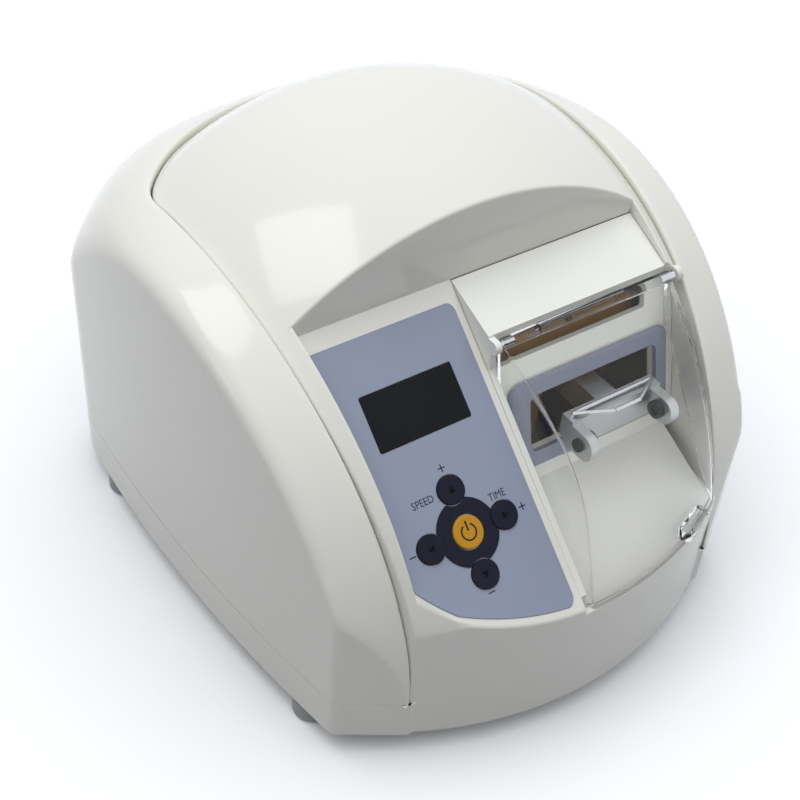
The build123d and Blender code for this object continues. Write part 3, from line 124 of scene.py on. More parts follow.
class Skin:
    """Collects grids of points and faces for one piece."""

    def __init__(self):
        self.verts = []
        self.faces = []

    def grid(self, rows, closed=False, flip=False, keep=None):
        """Faces between rows of points, leaving out those whose middle isn't to be kept."""
        start = len(self.verts)
        for row in rows:
            self.verts.extend(row)
        for face in grid_faces(len(rows), len(rows[0]), start, closed, flip):
            centre = [sum(self.verts[i][k] for i in face) / 4 for k in range(3)]
            if keep is None or keep(*centre):
                self.faces.append(face)

    def polygon(self, points):
        """One flat face."""
        start = len(self.verts)
        self.verts.extend(points)
        self.faces.append(tuple(range(start, start + len(points))))

    def prism(self, rings):
        """Closed rings with both ends filled."""
        self.grid(rings, closed=True)
        self.polygon(rings[0][::-1])
        self.polygon(rings[-1])

    def tidy(self, name, material, slot, angle, outwards, body="housing"):
        """One smooth piece with sharp edges beyond an angle, its faces turned outwards."""
        mesh = mesh_of(name, self.verts, self.faces)
        mesh.validate()
        obj = placed(name, mesh)
        bm = bmesh.new()
        bm.from_mesh(mesh)
        bmesh.ops.remove_doubles(bm, verts=bm.verts, dist=0.004 * MM)
        bmesh.ops.dissolve_degenerate(bm, dist=0.002 * MM, edges=bm.edges)
        bmesh.ops.recalc_face_normals(bm, faces=bm.faces)
        test = max(bm.faces, key=lambda f: f.calc_center_median().dot(Vector(outwards)))
        if test.normal.dot(Vector(outwards)) < 0:
            bmesh.ops.reverse_faces(bm, faces=bm.faces)
        for edge in bm.edges:
            if len(edge.link_faces) == 2:
                edge.smooth = edge.calc_face_angle(0.0) < radians(angle)
        bm.to_mesh(mesh)
        bm.free()
        mesh.polygons.foreach_set("use_smooth", [True] * len(mesh.polygons))
        mesh.materials.append(material)
        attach(obj, body)
        return obj


def curve_points(points, count):
    """Points spaced evenly along a polyline."""
    lengths = [0.0]
    for a, b in zip(points, points[1:]):
        lengths.append(lengths[-1] + hypot(b[0] - a[0], b[1] - a[1]))
    out = []
    k = 0
    for i in range(count):
        want = lengths[-1] * i / (count - 1)
        while k < len(points) - 2 and lengths[k + 1] < want:
            k += 1
        span = lengths[k + 1] - lengths[k] or 1.0
        t = (want - lengths[k]) / span
        a, b = points[k], points[k + 1]
        out.append(tuple(a[n] + (b[n] - a[n]) * t for n in range(len(a))))
    return out


def arc(cx, cy, radius, start, end, count):
    """Points on a circle between two angles in degrees."""
    turn = [start + (end - start) * i / (count - 1) for i in range(count)]
    return [(cx + radius * cos(radians(a)), cy + radius * sin(radians(a))) for a in turn]


def crossing(low, high, past):
    """Value between two bounds at which a test turns true, by halving."""
    for _ in range(40):
        middle = (low + high) / 2
        if past(middle):
            high = middle
        else:
            low = middle
    return low


def bend(a, corner, b, count):
    """Quadratic curve that rounds a corner."""
    out = []
    for i in range(count):
        t = i / (count - 1)
        w = ((1 - t) ** 2, 2 * t * (1 - t), t * t)
        out.append(tuple(w[0] * a[n] + w[1] * corner[n] + w[2] * b[n] for n in range(3)))
    return out


# ---------------------------------------------------------------- surfaces of the housing
def bowed(half, bow, y):
    """Half width at depth y of a bow."""
    return half - (y - BOW_Y) ** 2 / (2 * bow)


def soft_min(a, b, width):
    """Smaller of two values, blended where they are close."""
    h = max(width - abs(a - b), 0.0) / width
    return min(a, b) - h * h * width / 4


def outer_height(x, y):
    """Flatter dome of fenders and shoulders, rounded off at the rear corners."""
    reach = SHOULDER_FRONT if y < SHOULDER_Y else SHOULDER_BACK
    level = 1 - (x / SHOULDER_HALF) ** 2 - ((y - SHOULDER_Y) / reach) ** 2
    flat = PARTING_Z + SHOULDER_RISE * sqrt(max(level, 0.0))
    ball = BALL_Z + sqrt(max(BALL_RADIUS ** 2 - x * x - (y - BALL_Y) ** 2, 0.0))
    return soft_min(flat, ball, BALL_BLEND)


def centre_height(x, y):
    """Fuller dome of the middle."""
    reach = MIDDLE_FRONT if y < MIDDLE_Y else MIDDLE_BACK
    level = 1 - (x / MIDDLE_HALF) ** 2 - ((y - MIDDLE_Y) / reach) ** 2
    return MIDDLE_Z + MIDDLE_RISE * sqrt(max(level, 0.0))


def nose_y(x, radius=NOSE_RADIUS):
    """Depth of the round nose at x."""
    return NOSE_CENTRE_Y - sqrt(radius ** 2 - x * x)


def panel_height(y):
    """Height of the panel plane at depth y."""
    return BROW_Z + (y - BROW_Y) * PANEL_SIN / PANEL_COS


def panel_point(x, drop, rise):
    """Point a drop down the panel from the brow and a rise above it."""
    return (x, BROW_Y - drop * PANEL_COS - rise * PANEL_SIN,
            BROW_Z - drop * PANEL_SIN + rise * PANEL_COS)


def side_curve(half, bow, y0, y1, count):
    """Points along the left one of a pair of bows."""
    ys = [y0 + (y1 - y0) * i / (count - 1) for i in range(count)]
    return [(-bowed(half, bow, y), y) for y in ys]


def rim_curve(grow=0.0):
    """Left half of the rim line, from its front tip to the middle of the back."""
    half, bow = RIM_HALF + grow, RIM_BOW + grow
    corner = ROUND_CORNER + grow
    far, near = bow - corner, RIM_BACK + grow - corner
    cx, cy = half - bow, BOW_Y
    dx, dy = -cx, RIM_BACK_Y - cy
    gap = hypot(dx, dy)
    # The round corner touches both the bow of the side and the circle of the back.
    along = (far ** 2 - near ** 2 + gap ** 2) / (2 * gap)
    aside = sqrt(max(far ** 2 - along ** 2, 0.0))
    fx = cx + along * dx / gap - aside * dy / gap
    fy = cy + along * dy / gap + aside * dx / gap
    a0 = atan2(fy - cy, fx - cx)
    a1 = atan2(fy - RIM_BACK_Y, fx)
    front = side_curve(half, bow, TIP_Y, cy + bow * sin(a0), 180)
    turn = arc(-fx, fy, corner, 180 - a0 * 180 / pi, 180 - a1 * 180 / pi, 40)
    back = arc(0, RIM_BACK_Y, RIM_BACK + grow, 180 - a1 * 180 / pi, 90, 80)
    return front + turn[1:] + back[1:]


def housing_curve():
    """Left half of the housing's outline, from the fender's tip to the middle of the back."""
    tip = [(-bowed(RIM_HALF, RIM_BOW, TIP_Y), TIP_Y), (-93.6, -87.8)]
    corner = arc(-90.89, -83.56, 5.0, 237.6, 189.9, 12)
    side = side_curve(SIDE_HALF, SIDE_BOW, -84.4, SIDE_END_Y, 160)
    rear = arc(-REAR_FLAT, REAR_Y - ROUND_CORNER, ROUND_CORNER, 175.4, 90.0, 50)
    flat = [(-REAR_FLAT + REAR_FLAT * k / 80, REAR_Y) for k in range(1, 81)]
    return tip + corner[1:-1] + side + rear[1:] + flat


def nearest(points, target):
    """Index of the point that lies closest to a place."""
    x, y = target
    return min(range(len(points)), key=lambda i: hypot(points[i][0] - x, points[i][1] - y))


# ---------------------------------------------------------------- materials
def shader(name, colour, roughness, metallic=0.0):
    """Node material with its principled shader and node tree at hand."""
    material = bpy.data.materials.new(name)
    material.use_nodes = True
    tree = material.node_tree
    surface = tree.nodes["Principled BSDF"]
    surface.inputs["Base Color"].default_value = (*colour, 1.0)
    surface.inputs["Roughness"].default_value = roughness
    surface.inputs["Metallic"].default_value = metallic
    return material, tree, surface


def noise_at(tree, scale, detail=4.0, stretch=None):
    """Noise on object coordinates, stretched along the axes if a scale for each is given."""
    place = tree.nodes.new("ShaderNodeTexCoord").outputs["Object"]
    if stretch:
        mapping = tree.nodes.new("ShaderNodeMapping")
        mapping.inputs["Scale"].default_value = stretch
        tree.links.new(place, mapping.inputs["Vector"])
        place = mapping.outputs["Vector"]
    grain = tree.nodes.new("ShaderNodeTexNoise")
    grain.inputs["Scale"].default_value = scale
    grain.inputs["Detail"].default_value = detail
    grain.inputs["Roughness"].default_value = 0.55
    tree.links.new(place, grain.inputs["Vector"])
    return grain


def tint(tree, surface, grain, light, dark, low, high):
    """Slow change between two nearly equal colours, over a span of the noise."""
    ramp = tree.nodes.new("ShaderNodeValToRGB")
    for element, place, colour in zip(ramp.color_ramp.elements, (low, high), (dark, light)):
        element.position = place
        element.color = (*colour, 1.0)
    tree.links.new(grain.outputs["Fac"], ramp.inputs["Fac"])
    tree.links.new(ramp.outputs["Color"], surface.inputs["Base Color"])


def roughen(tree, surface, low, high, scale):
    """Roughness that drifts between two values."""
    grain = noise_at(tree, scale, 3.0)
    spread = tree.nodes.new("ShaderNodeMapRange")
    spread.inputs["From Min"].default_value = 0.3
    spread.inputs["From Max"].default_value = 0.7
    spread.inputs["To Min"].default_value = low
    spread.inputs["To Max"].default_value = high
    tree.links.new(grain.outputs["Fac"], spread.inputs["Value"])
    tree.links.new(spread.outputs["Result"], surface.inputs["Roughness"])


def emboss(tree, surface, grain, distance, strength):
    """Moulded grain or tool marks as a bump."""
    bump = tree.nodes.new("ShaderNodeBump")
    bump.inputs["Strength"].default_value = strength
    bump.inputs["Distance"].default_value = distance
    tree.links.new(grain.outputs["Fac"], bump.inputs["Height"])
    tree.links.new(bump.outputs["Normal"], surface.inputs["Normal"])


def moulded(name, light, dark, roughness, coat=0.0, grain=(900.0, 0.00002), shine=0.5):
    """Plastic, rubber, ink or board with a fine moulded grain of a given scale and depth."""
    material, tree, surface = shader(name, light, roughness)
    tint(tree, surface, noise_at(tree, 14.0), light, dark, 0.35, 0.65)
    roughen(tree, surface, roughness * 0.85, roughness * 1.2, 60.0)
    emboss(tree, surface, noise_at(tree, grain[0], 2.0), grain[1], 0.3)
    surface.inputs["Specular IOR Level"].default_value = shine
    surface.inputs["Coat Weight"].default_value = coat
    surface.inputs["Coat Roughness"].default_value = 0.04
    return material


def worked_metal(name, light, dark, roughness, stretch=(300.0, 300.0, 300.0)):
    """Metal with tool marks or layers that follow the stretch of its noise."""
    material, tree, surface = shader(name, light, roughness, 1.0)
    grain = noise_at(tree, 6.0, stretch=stretch)
    tint(tree, surface, grain, light, dark, 0.3, 0.7)
    emboss(tree, surface, grain, 0.00003, 0.15)
    roughen(tree, surface, roughness * 0.8, roughness * 1.25, 90.0)
    return material


def clear_plastic(name):
    """Thin clear wall that bends what is behind it only a little."""
    material, tree, surface = shader(name, (0.97, 0.98, 0.99), 0.03)
    surface.inputs["Transmission Weight"].default_value = 1.0
    surface.inputs["IOR"].default_value = 1.24
    surface.inputs["Specular IOR Level"].default_value = 0.8
    roughen(tree, surface, 0.004, 0.02, 40.0)
    return material


IVORY = moulded("ivory_gloss_shell", (0.80, 0.785, 0.715), (0.79, 0.775, 0.70), 0.15, 0.4,
                (700.0, 0.00001))
INK = moulded("panel_lettering_ink", (0.020, 0.022, 0.034), (0.014, 0.016, 0.025), 0.5, shine=0.2)
ARROW_INK = moulded("key_arrow_ink", (0.0030, 0.0032, 0.0045), (0.0022, 0.0024, 0.0034), 0.6,
                    shine=0.1)
MARK_BROWN = moulded("power_mark_ink", (0.035, 0.022, 0.012), (0.026, 0.016, 0.009), 0.5, shine=0.2)
CLEAR = clear_plastic("clear_acrylic_cover")

# Material of each slot of the record.
FINISHES = {
    "shell_white": IVORY,
    "clear_acrylic": CLEAR,
    "liner_white": moulded("ivory_chamber_wall", (0.86, 0.855, 0.79), (0.845, 0.84, 0.77), 0.32,
                           0.1),
    "overlay_grey_blue": moulded("printed_overlay_film", (0.285, 0.315, 0.41), (0.265, 0.295, 0.39),
                                 0.42),
    "display_black": moulded("smoked_display_window", (0.008, 0.010, 0.012), (0.006, 0.008, 0.009),
                             0.16, shine=0.12),
    "key_navy": moulded("navy_key_silicone", (0.012, 0.015, 0.029), (0.010, 0.012, 0.023), 0.5,
                        shine=0.12),
    "key_amber": moulded("amber_power_key", (0.56, 0.27, 0.012), (0.50, 0.235, 0.010), 0.35,
                         shine=0.25),
    "bezel_grey_blue": moulded("grey_blue_window_frame", (0.27, 0.29, 0.38), (0.25, 0.27, 0.35),
                               0.45),
    "black_rubber": moulded("black_bush_rubber", (0.020, 0.020, 0.024), (0.014, 0.014, 0.016), 0.6),
    "foot_grey": moulded("pale_grey_foot", (0.42, 0.43, 0.44), (0.38, 0.39, 0.40), 0.6),
    "socket_black": moulded("black_socket_plastic", (0.020, 0.020, 0.022), (0.016, 0.016, 0.017),
                            0.38),
    "white_nylon": moulded("white_nylon", (0.72, 0.71, 0.66), (0.68, 0.67, 0.62), 0.4),
    "component_dark": moulded("dark_electrical_case", (0.03, 0.03, 0.034), (0.022, 0.022, 0.026),
                              0.5),
    "board_green": moulded("green_circuit_board", (0.03, 0.16, 0.07), (0.02, 0.12, 0.05), 0.4, 0.2),
    "board_brown": moulded("brown_circuit_board", (0.46, 0.26, 0.075), (0.36, 0.19, 0.05), 0.5,
                           0.1),
    "yellow_zinc": worked_metal("yellow_zinc_sheet", (0.66, 0.47, 0.17), (0.50, 0.36, 0.15), 0.34),
    "polished_steel": worked_metal("polished_steel", (0.72, 0.72, 0.74), (0.62, 0.62, 0.64), 0.16),
    "laminated_steel": worked_metal("laminated_core", (0.30, 0.30, 0.32), (0.18, 0.18, 0.19), 0.45,
                                    (2500.0, 40.0, 40.0)),
    "copper_winding": worked_metal("varnished_copper", (0.62, 0.26, 0.10), (0.38, 0.14, 0.05),
                                   0.35),
    "cast_aluminium": worked_metal("cast_aluminium", (0.66, 0.67, 0.68), (0.54, 0.55, 0.56), 0.42),
    "bearing_bronze": worked_metal("bearing_bronze", (0.60, 0.40, 0.18), (0.48, 0.31, 0.13), 0.35),
    "zinc_screw": worked_metal("zinc_screw", (0.66, 0.66, 0.66), (0.52, 0.52, 0.53), 0.3),
}
SLOT_OF = {s["node"]: s["material_slot"] for s in frame["record"]["subparts"]}
for name, part in frame["nodes"].items():
    part.data.materials.clear()
    part.data.materials.append(FINISHES[SLOT_OF[name]])


# ---------------------------------------------------------------- outer shell
OUTLINE = housing_curve()
RIM = rim_curve()

# Places of the outline and the rim that belong together, and the sections up to each pair.
MATCHES = [
    ((-72.0, TIP_Y), (-72.0, TIP_Y), 0),
    ((-93.6, -87.8), (-75.1, FENDER_Y), 26),
    ((-95.8, -84.4), (-76.0, -78.0), 8),
    ((-104.4, 84.0), (-81.3, 64.0), 90),
    ((-96.0, 108.4), (-74.5, 75.0), 26),
    ((-REAR_FLAT, REAR_Y), (-64.0, 84.3), 18),
    ((-29.0, REAR_Y), (-27.0, 103.8), 22),
    ((0.0, REAR_Y), (0.0, RIM_REAR_Y), 12),
]


def matched_pairs():
    """Outline and rim points side by side, from the left fender tip round to the right one."""
    pairs = []
    for (o0, r0, _), (o1, r1, count) in zip(MATCHES, MATCHES[1:]):
        a = OUTLINE[nearest(OUTLINE, o0):nearest(OUTLINE, o1) + 1]
        b = RIM[nearest(RIM, r0):nearest(RIM, r1) + 1]
        a = a if len(a) > 1 else [o0, o1]
        pairs.extend(list(zip(curve_points(a, count + 1), curve_points(b, count + 1)))[:-1])
    pairs.append(MATCHES[-1][:2])
    right = [((-o[0], o[1]), (-r[0], r[1])) for o, r in reversed(pairs[:-1])]
    return pairs + right


# Flat patch of the back and its openings: left, right, bottom and top edge of each.
FOOT_CHAMFER = 0.4
REAR_LOW, REAR_HIGH = PARTING_Z + FOOT_CHAMFER, 98.5
VENT_X, VENT_LOW, VENT_PITCH, VENT_ROWS = 52.4, 46.0, 7.0, 8
VENT_BOX = (29.0, REAR_FLAT, VENT_LOW - VENT_PITCH / 2, REAR_HIGH)
INLET_HOLE = (-75.0, -49.0, 47.0, 65.0)
FUSE_HOLE = (-29.0, -19.0, 51.0, 61.0)
SWITCH_HOLE = (-5.0, 13.0, 50.0, 62.0)
REAR_LEVELS = [REAR_LOW, REAR_LOW + 0.8, 50.0, 71.0, REAR_HIGH]


def edge_softness(x, y):
    """Radius of the edge between wall and dome: small in front, generous at the rear corners."""
    if y < -80.0:
        return 2.2
    corner_x, corner_y, spread = 98.0, 106.0, 60.0
    corner = max(0.0, 1 - hypot(abs(x) - corner_x, y - corner_y) / spread)
    return 5.0 + 7.0 * corner


def shell_section(outline, rim):
    """Points from the parting line up the wall, over the fender and down inside the rim."""
    # Beside the hood the inner wall reaches the chamber's floor, and in front of low_y the tray.
    low_y, hood_y, floor_z = -90.0, -44.0, 50.0
    flange, crest_most = 3.0, 1.9
    (ox, oy), (rx, ry) = outline, rim
    span = hypot(rx - ox, ry - oy)
    ux, uy = ((rx - ox) / span, (ry - oy) / span) if span > 0.05 else (0.0, 0.0)

    def top(distance):
        x, y = ox + ux * distance, oy + uy * distance
        return x, y, max(outer_height(x, y), PARTING_Z)

    corner = top(0.0)
    height = corner[2] - PARTING_Z
    soft = min(edge_softness(ox, oy), span * 0.4, height * 0.6)
    crest = min(crest_most, span * 0.25)
    wall_top = corner[2] - soft
    if oy > REAR_Y - 0.1:
        levels = REAR_LEVELS + [(REAR_HIGH + wall_top) / 2]
    else:
        wall = wall_top - PARTING_Z - FOOT_CHAMFER
        levels = [PARTING_Z + FOOT_CHAMFER + wall * k for k in (0.0, 0.01, 0.2, 0.5, 0.8, 0.93)]
    points = [(ox + ux * inward, oy + uy * inward, PARTING_Z) for inward in (flange, FOOT_CHAMFER)]
    points += [(ox, oy, min(z, wall_top)) for z in levels]
    points += bend((ox, oy, wall_top), corner, top(soft), 8)
    reach = span - soft - crest
    points += [top(soft + reach * k / 9) for k in range(1, 9)]
    edge = top(span)
    low = (edge[0], edge[1], max(edge[2] - crest * 1.2, PARTING_Z))
    points += bend(top(span - crest), edge, low, 6)
    inside = centre_height(rx, ry) - RIM_DEPTH
    if ry < FENDER_Y or (rx > 0 and ry < hood_y):
        inside = min(inside, floor_z if ry > low_y else PARTING_Z)
    inside = max(min(inside, low[2]), PARTING_Z)
    points += [(rx, ry, low[2] + (inside - low[2]) * k) for k in (0.3, 1.0)]
    points.append((rx - ux * 2.2, ry - uy * 2.2, inside))
    return points


def on_rear_flat(x, y, z):
    """Whether a point lies on the flat patch of the back."""
    return y > REAR_Y - 0.1 and abs(x) < REAR_FLAT and REAR_LOW < z < REAR_HIGH


def rear_wall(skin):
    """Flat back between the round corners, open for the inlet, fuse, switch and vent."""
    holes = (INLET_HOLE, FUSE_HOLE, SWITCH_HOLE, VENT_BOX)
    xs = sorted({-REAR_FLAT, REAR_FLAT} | {h[k] for h in holes for k in (0, 1)})
    zs = sorted({REAR_LOW, REAR_HIGH} | {h[k] for h in holes for k in (2, 3)})
    for x0, x1 in zip(xs, xs[1:]):
        for z0, z1 in zip(zs, zs[1:]):
            x, z = (x0 + x1) / 2, (z0 + z1) / 2
            if not any(h[0] < x < h[1] and h[2] < z < h[3] for h in holes):
                corners = ((x1, z0), (x0, z0), (x0, z1), (x1, z1))
                skin.polygon([(x, REAR_Y, z) for x, z in corners])


outer = Skin()
outer.grid([shell_section(o, r) for o, r in matched_pairs()], flip=True,
           keep=lambda x, y, z: not on_rear_flat(x, y, z))
rear_wall(outer)
outer_skin = outer.tidy("outer_shell_skin", IVORY, "shell_white", 50, (-1, 0, 0))
for face in outer_skin.data.polygons:
    face.use_smooth = not on_rear_flat(*(c / MM for c in face.center))
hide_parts("outer_shell")


# ---------------------------------------------------------------- front shell
EDGE = RIM_HALF - SEAM
RIM_INNER = rim_curve(-SEAM)
LIP_BROW = bowed(LIP_HALF, LIP_BOW, BROW_Y)
RIM_BROW = bowed(EDGE, RIM_BOW, BROW_Y)
DOME_X, DOME_Y = 0.0, 36.0


def dome_boundary():
    """Rim line of the dome from the left end of the brow round to its right end."""
    left = [(-RIM_BROW, BROW_Y)] + RIM_INNER[nearest(RIM_INNER, (-RIM_BROW, BROW_Y)) + 1:]
    left = curve_points(left, 130)
    return left + [(-x, y) for x, y in reversed(left[:-1])]


def dome_skin(skin):
    """Dome behind the brow: rings that grow from a middle point to a rounded edge."""
    rim = dome_boundary()
    strip = [(RIM_BROW + (LIP_BROW - RIM_BROW) * k / 5, BROW_Y) for k in range(1, 6)]
    brow = [(LIP_BROW - 2 * LIP_BROW * k / 100, BROW_Y) for k in range(1, 100)]
    loop = rim + strip + brow + [(-x, y) for x, y in reversed(strip)]
    side = ["join"] * 4 + ["corner"]
    kinds = ["rim"] * len(rim) + side + ["brow"] * len(brow) + side[::-1]
    steps = [(sin(k / 26 * pi / 2) ** 0.9, 3.0) for k in range(1, 26)] + [(1.0, 2.2), (1.0, 1.4)]
    rows = [[dome_point(x, y, t, inset) for x, y in loop] for t, inset in steps]
    edges = [dome_edge(x, y, kind) for (x, y), kind in zip(loop, kinds)]
    rows += [list(row) for row in zip(*edges)]
    first = len(skin.verts)
    skin.grid(rows, closed=True)
    top = len(skin.verts)
    skin.verts.append((DOME_X, DOME_Y, centre_height(DOME_X, DOME_Y)))
    for j in range(len(loop)):
        skin.faces.append((top, first + (j + 1) % len(loop), first + j))


def pull(x, y, inset):
    """Place moved a little way towards the middle of the dome."""
    length = hypot(x - DOME_X, y - DOME_Y)
    share = (length - inset) / length
    return DOME_X + (x - DOME_X) * share, DOME_Y + (y - DOME_Y) * share


def dome_point(x, y, t, inset):
    """Point of the dome a share of the way from its middle to its boundary."""
    px, py = pull(x, y, inset)
    px, py = DOME_X + (px - DOME_X) * t, DOME_Y + (py - DOME_Y) * t
    return px, py, centre_height(px, py)


def dome_edge(x, y, kind):
    """Rounded edge of the dome and the wall below it."""
    crest = centre_height(x, y)
    if kind == "join":
        return [(x, y, crest)] * 8
    soft = {"rim": EDGE_ROUND, "corner": 0.15, "brow": 1.1}[kind]
    ix, iy = pull(x, y, soft)
    low = crest - soft
    floor = crest - RIM_DEPTH if kind == "rim" else BROW_Z - 0.2
    points = bend((ix, iy, centre_height(ix, iy)), (x, y, crest), (x, y, low), 6)
    return points + [(x, y, low + (floor - low) * share) for share in (0.15, 1.0)]


def lower_lip(x):
    """Depth at which the panel plane runs out through the dome in front."""
    return crossing(nose_y(x), -60.0, lambda y: centre_height(x, y) > panel_height(y))


def lip_corner():
    """Where the side lip meets the lower lip."""
    y = crossing(-110.0, -60.0, lambda y: lower_lip(-bowed(LIP_HALF, LIP_BOW, y)) < y)
    return -bowed(LIP_HALF, LIP_BOW, y), y


CORNER_X, CORNER_Y = lip_corner()
PANEL_RIGHT = CHAMBER_LEFT - 0.3
RIBBON_TIP_Y = -100.2


def steps_between(start, end, count):
    """Values at equal steps from a start to an end."""
    return [start + (end - start) * k / count for k in range(count + 1)]


def strip_section(inner_y, outer_y):
    """From the deck up the lip, across the ribbon and down beside the rim, on the left side."""
    ix, iy = -bowed(LIP_HALF, LIP_BOW, inner_y), inner_y
    ox, oy = -bowed(EDGE, RIM_BOW, outer_y), outer_y
    span = hypot(ox - ix, oy - iy)
    ux, uy = (ox - ix) / span, (oy - iy) / span

    def top(distance):
        x, y = ix + ux * distance, iy + uy * distance
        return x, y, centre_height(x, y)

    edge = top(0.0)
    deck = panel_height(iy)
    drop = max(edge[2] - deck, 0.0)
    soft = min(EDGE_ROUND, drop * 0.5, span * 0.3)
    points = [(ix, iy, min(deck - 0.2, edge[2])), (ix, iy, edge[2] - soft - (drop - soft) * 0.15)]
    points += bend((ix, iy, edge[2] - soft), edge, top(soft), 6)
    points += [top(soft + (span - soft - EDGE_ROUND) * k / 8) for k in range(1, 8)]
    end = top(span)
    points += bend(top(span - EDGE_ROUND), end, (ox, oy, end[2] - EDGE_ROUND), 6)
    foot = end[2] - 16.0 if oy > FENDER_Y else PARTING_Z
    return points + [(ox, oy, end[2] - 3.0), (ox, oy, foot)]


def nose_section(x, shift):
    """From the lower lip over what is left of the dome and down the nose."""
    ox, oy = x + shift, nose_y(x + shift)
    start = (x, max(lower_lip(x), nose_y(x, NOSE_RADIUS - EDGE_ROUND - 0.6)))
    share = EDGE_ROUND / NOSE_RADIUS
    back = (ox - share * ox, oy + share * (NOSE_CENTRE_Y - oy))

    def top(px, py):
        return px, py, min(centre_height(px, py), panel_height(py))

    points = [top(x, y) for x, y in zip(*(steps_between(start[n], back[n], 6) for n in (0, 1)))]
    corner = top(ox, oy)
    low = corner[2] - EDGE_ROUND
    points += bend(points[-1], corner, (ox, oy, low), 6)[1:]
    return points + [(ox, oy, low - (low - PARTING_Z) * k / 8) for k in range(1, 9)]


def nose_sections():
    """Sections along the lower lip, from the corner to the chamber."""
    reach = -bowed(EDGE, RIM_BOW, RIBBON_TIP_Y) - CORNER_X
    places = enumerate(steps_between(CORNER_X, PANEL_RIGHT, 90))
    return [nose_section(x, reach * (1 - k / 90) ** 4) for k, x in places]


def ear_skin(skin):
    """Rounded ear at the right end of the cover's hinge."""
    radius, front_y = 3.1, HOOD_FRONT_Y + 1.5
    outline = arc(HINGE_Y, HINGE_Z, radius, -90.0, -337.2, 24)
    outline += [(front_y, HINGE_Z + 1.2), (front_y, HINGE_Z - radius)]
    skin.prism([[(x, y, z) for y, z in reversed(outline)] for x in (76.1, 78.5)])


def nose_wall():
    """Wall below the cover with a rounded top, carried on round the right side."""
    thick = 2.7
    rows = [ledge_section((x, nose_y(x)), (x, nose_y(x, NOSE_RADIUS - 3.0)))
            for x in steps_between(PANEL_RIGHT, bowed(EDGE, RIM_BOW, RIBBON_TIP_Y), 89)]
    for k, y in enumerate(steps_between(RIBBON_TIP_Y, HOOD_FRONT_Y, 30)[1:], 1):
        x = bowed(EDGE, RIM_BOW, y)
        rows.append(ledge_section((x, y), (x - thick, y + thick * max(1 - k / 5, 0.0))))
    return rows


def front_skin():
    """Dome, ribbon, nose and sunken deck of the front shell."""
    skin = Skin()
    dome_skin(skin)
    left = [strip_section(*ys) for ys in zip(steps_between(BROW_Y, CORNER_Y, 60),
                                             steps_between(BROW_Y, RIBBON_TIP_Y, 60))]
    nose = nose_sections()
    skin.grid(left)
    skin.grid(nose)
    beside_hood = [[(-x, y, z) for x, y, z in strip_section(depth, depth)]
                   for depth in steps_between(BROW_Y, HOOD_FRONT_Y, 24)]
    skin.grid(beside_hood, flip=True)
    skin.polygon(beside_hood[-1])
    ear_skin(skin)
    wall = nose_wall()
    skin.grid(wall, flip=True)
    skin.polygon(wall[0])
    lip = [(x, y, panel_height(y)) for (x, y, _), *_ in left + nose[1:]]
    skin.polygon(lip + [(PANEL_RIGHT, BROW_Y, BROW_Z)])
    front_y, step = lip[-1][1], 4.0
    skin.polygon([(PANEL_RIGHT, y, panel_height(y) - s)
                  for y, s in ((BROW_Y, 0.0), (front_y, 0.0), (front_y, step), (BROW_Y, step))])
    return skin


def ledge_section(outside, inside):
    """Wall below the cover's edge: up the inside, over a rounded top and down the outside."""
    (ox, oy), (ix, iy) = outside, inside
    span = hypot(ox - ix, oy - iy)
    ux, uy = (ox - ix) / span, (oy - iy) / span
    inner_round, low = 0.8, COVER_LIP_Z - 1.0
    inner_top = (ix + ux * inner_round, iy + uy * inner_round, COVER_LIP_Z)
    outer_top = (ox - ux, oy - uy, COVER_LIP_Z)
    points = [(ix, iy, 46.0)]
    points += bend((ix, iy, COVER_LIP_Z - inner_round), (ix, iy, COVER_LIP_Z), inner_top, 4)
    points += bend(outer_top, (ox, oy, COVER_LIP_Z), (ox, oy, low), 5)
    return points + [(ox, oy, PARTING_Z + (low - PARTING_Z) * m) for m in (0.75, 0.4, 0.05, 0.0)]


front = front_skin().tidy("front_shell_skin", IVORY, "shell_white", 42, (0, 0, 1))
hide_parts("front_shell")


# ---------------------------------------------------------------- clear cover
def bezier(points, t):
    """Point of a cubic curve in depth and height."""
    a, b, c, d = points
    w = ((1 - t) ** 3, 3 * t * (1 - t) ** 2, 3 * t * t * (1 - t), t ** 3)
    return tuple(w[0] * a[n] + w[1] * b[n] + w[2] * c[n] + w[3] * d[n] for n in range(2))


def cover_line(x, inset):
    """Side profile of the cover at x, as four Bezier points in depth and height."""
    share = (x - COVER_LEFT) / 85.0
    a0 = radians(20.0 + 24.0 * share)
    a1 = radians(17.0 - 5.0 * share)
    radius = NOSE_RADIUS - inset
    lip = (NOSE_CENTRE_Y - sqrt(radius ** 2 - x * x), COVER_LIP_Z + 0.3)
    hinge = (HINGE_Y + 1.4, HINGE_Z + 2.0 - inset)
    reach0, reach1 = 58.0 - 28.0 * share, 45.0 - 13.0 * share
    leave = (hinge[0] - reach0 * cos(a0), hinge[1] - reach0 * sin(a0))
    arrive = (lip[0] + reach1 * sin(a1), lip[1] + reach1 * cos(a1))
    return hinge, leave, arrive, lip


def cover_right(y, inset):
    """Right side of the cover at depth y, kept clear of the rim."""
    return min(COVER_RIGHT, bowed(RIM_HALF - COVER_GAP, RIM_BOW, y)) - inset


def cheek_foot(t, lip_y):
    """Lower edge of a cheek, from the hinge end to the lip."""
    back = (-53.0, 112.0)
    low = (lip_y + 2.6, COVER_LIP_Z + 0.3)
    return back[0] + (low[0] - back[0]) * t, back[1] + (low[1] - back[1]) * t


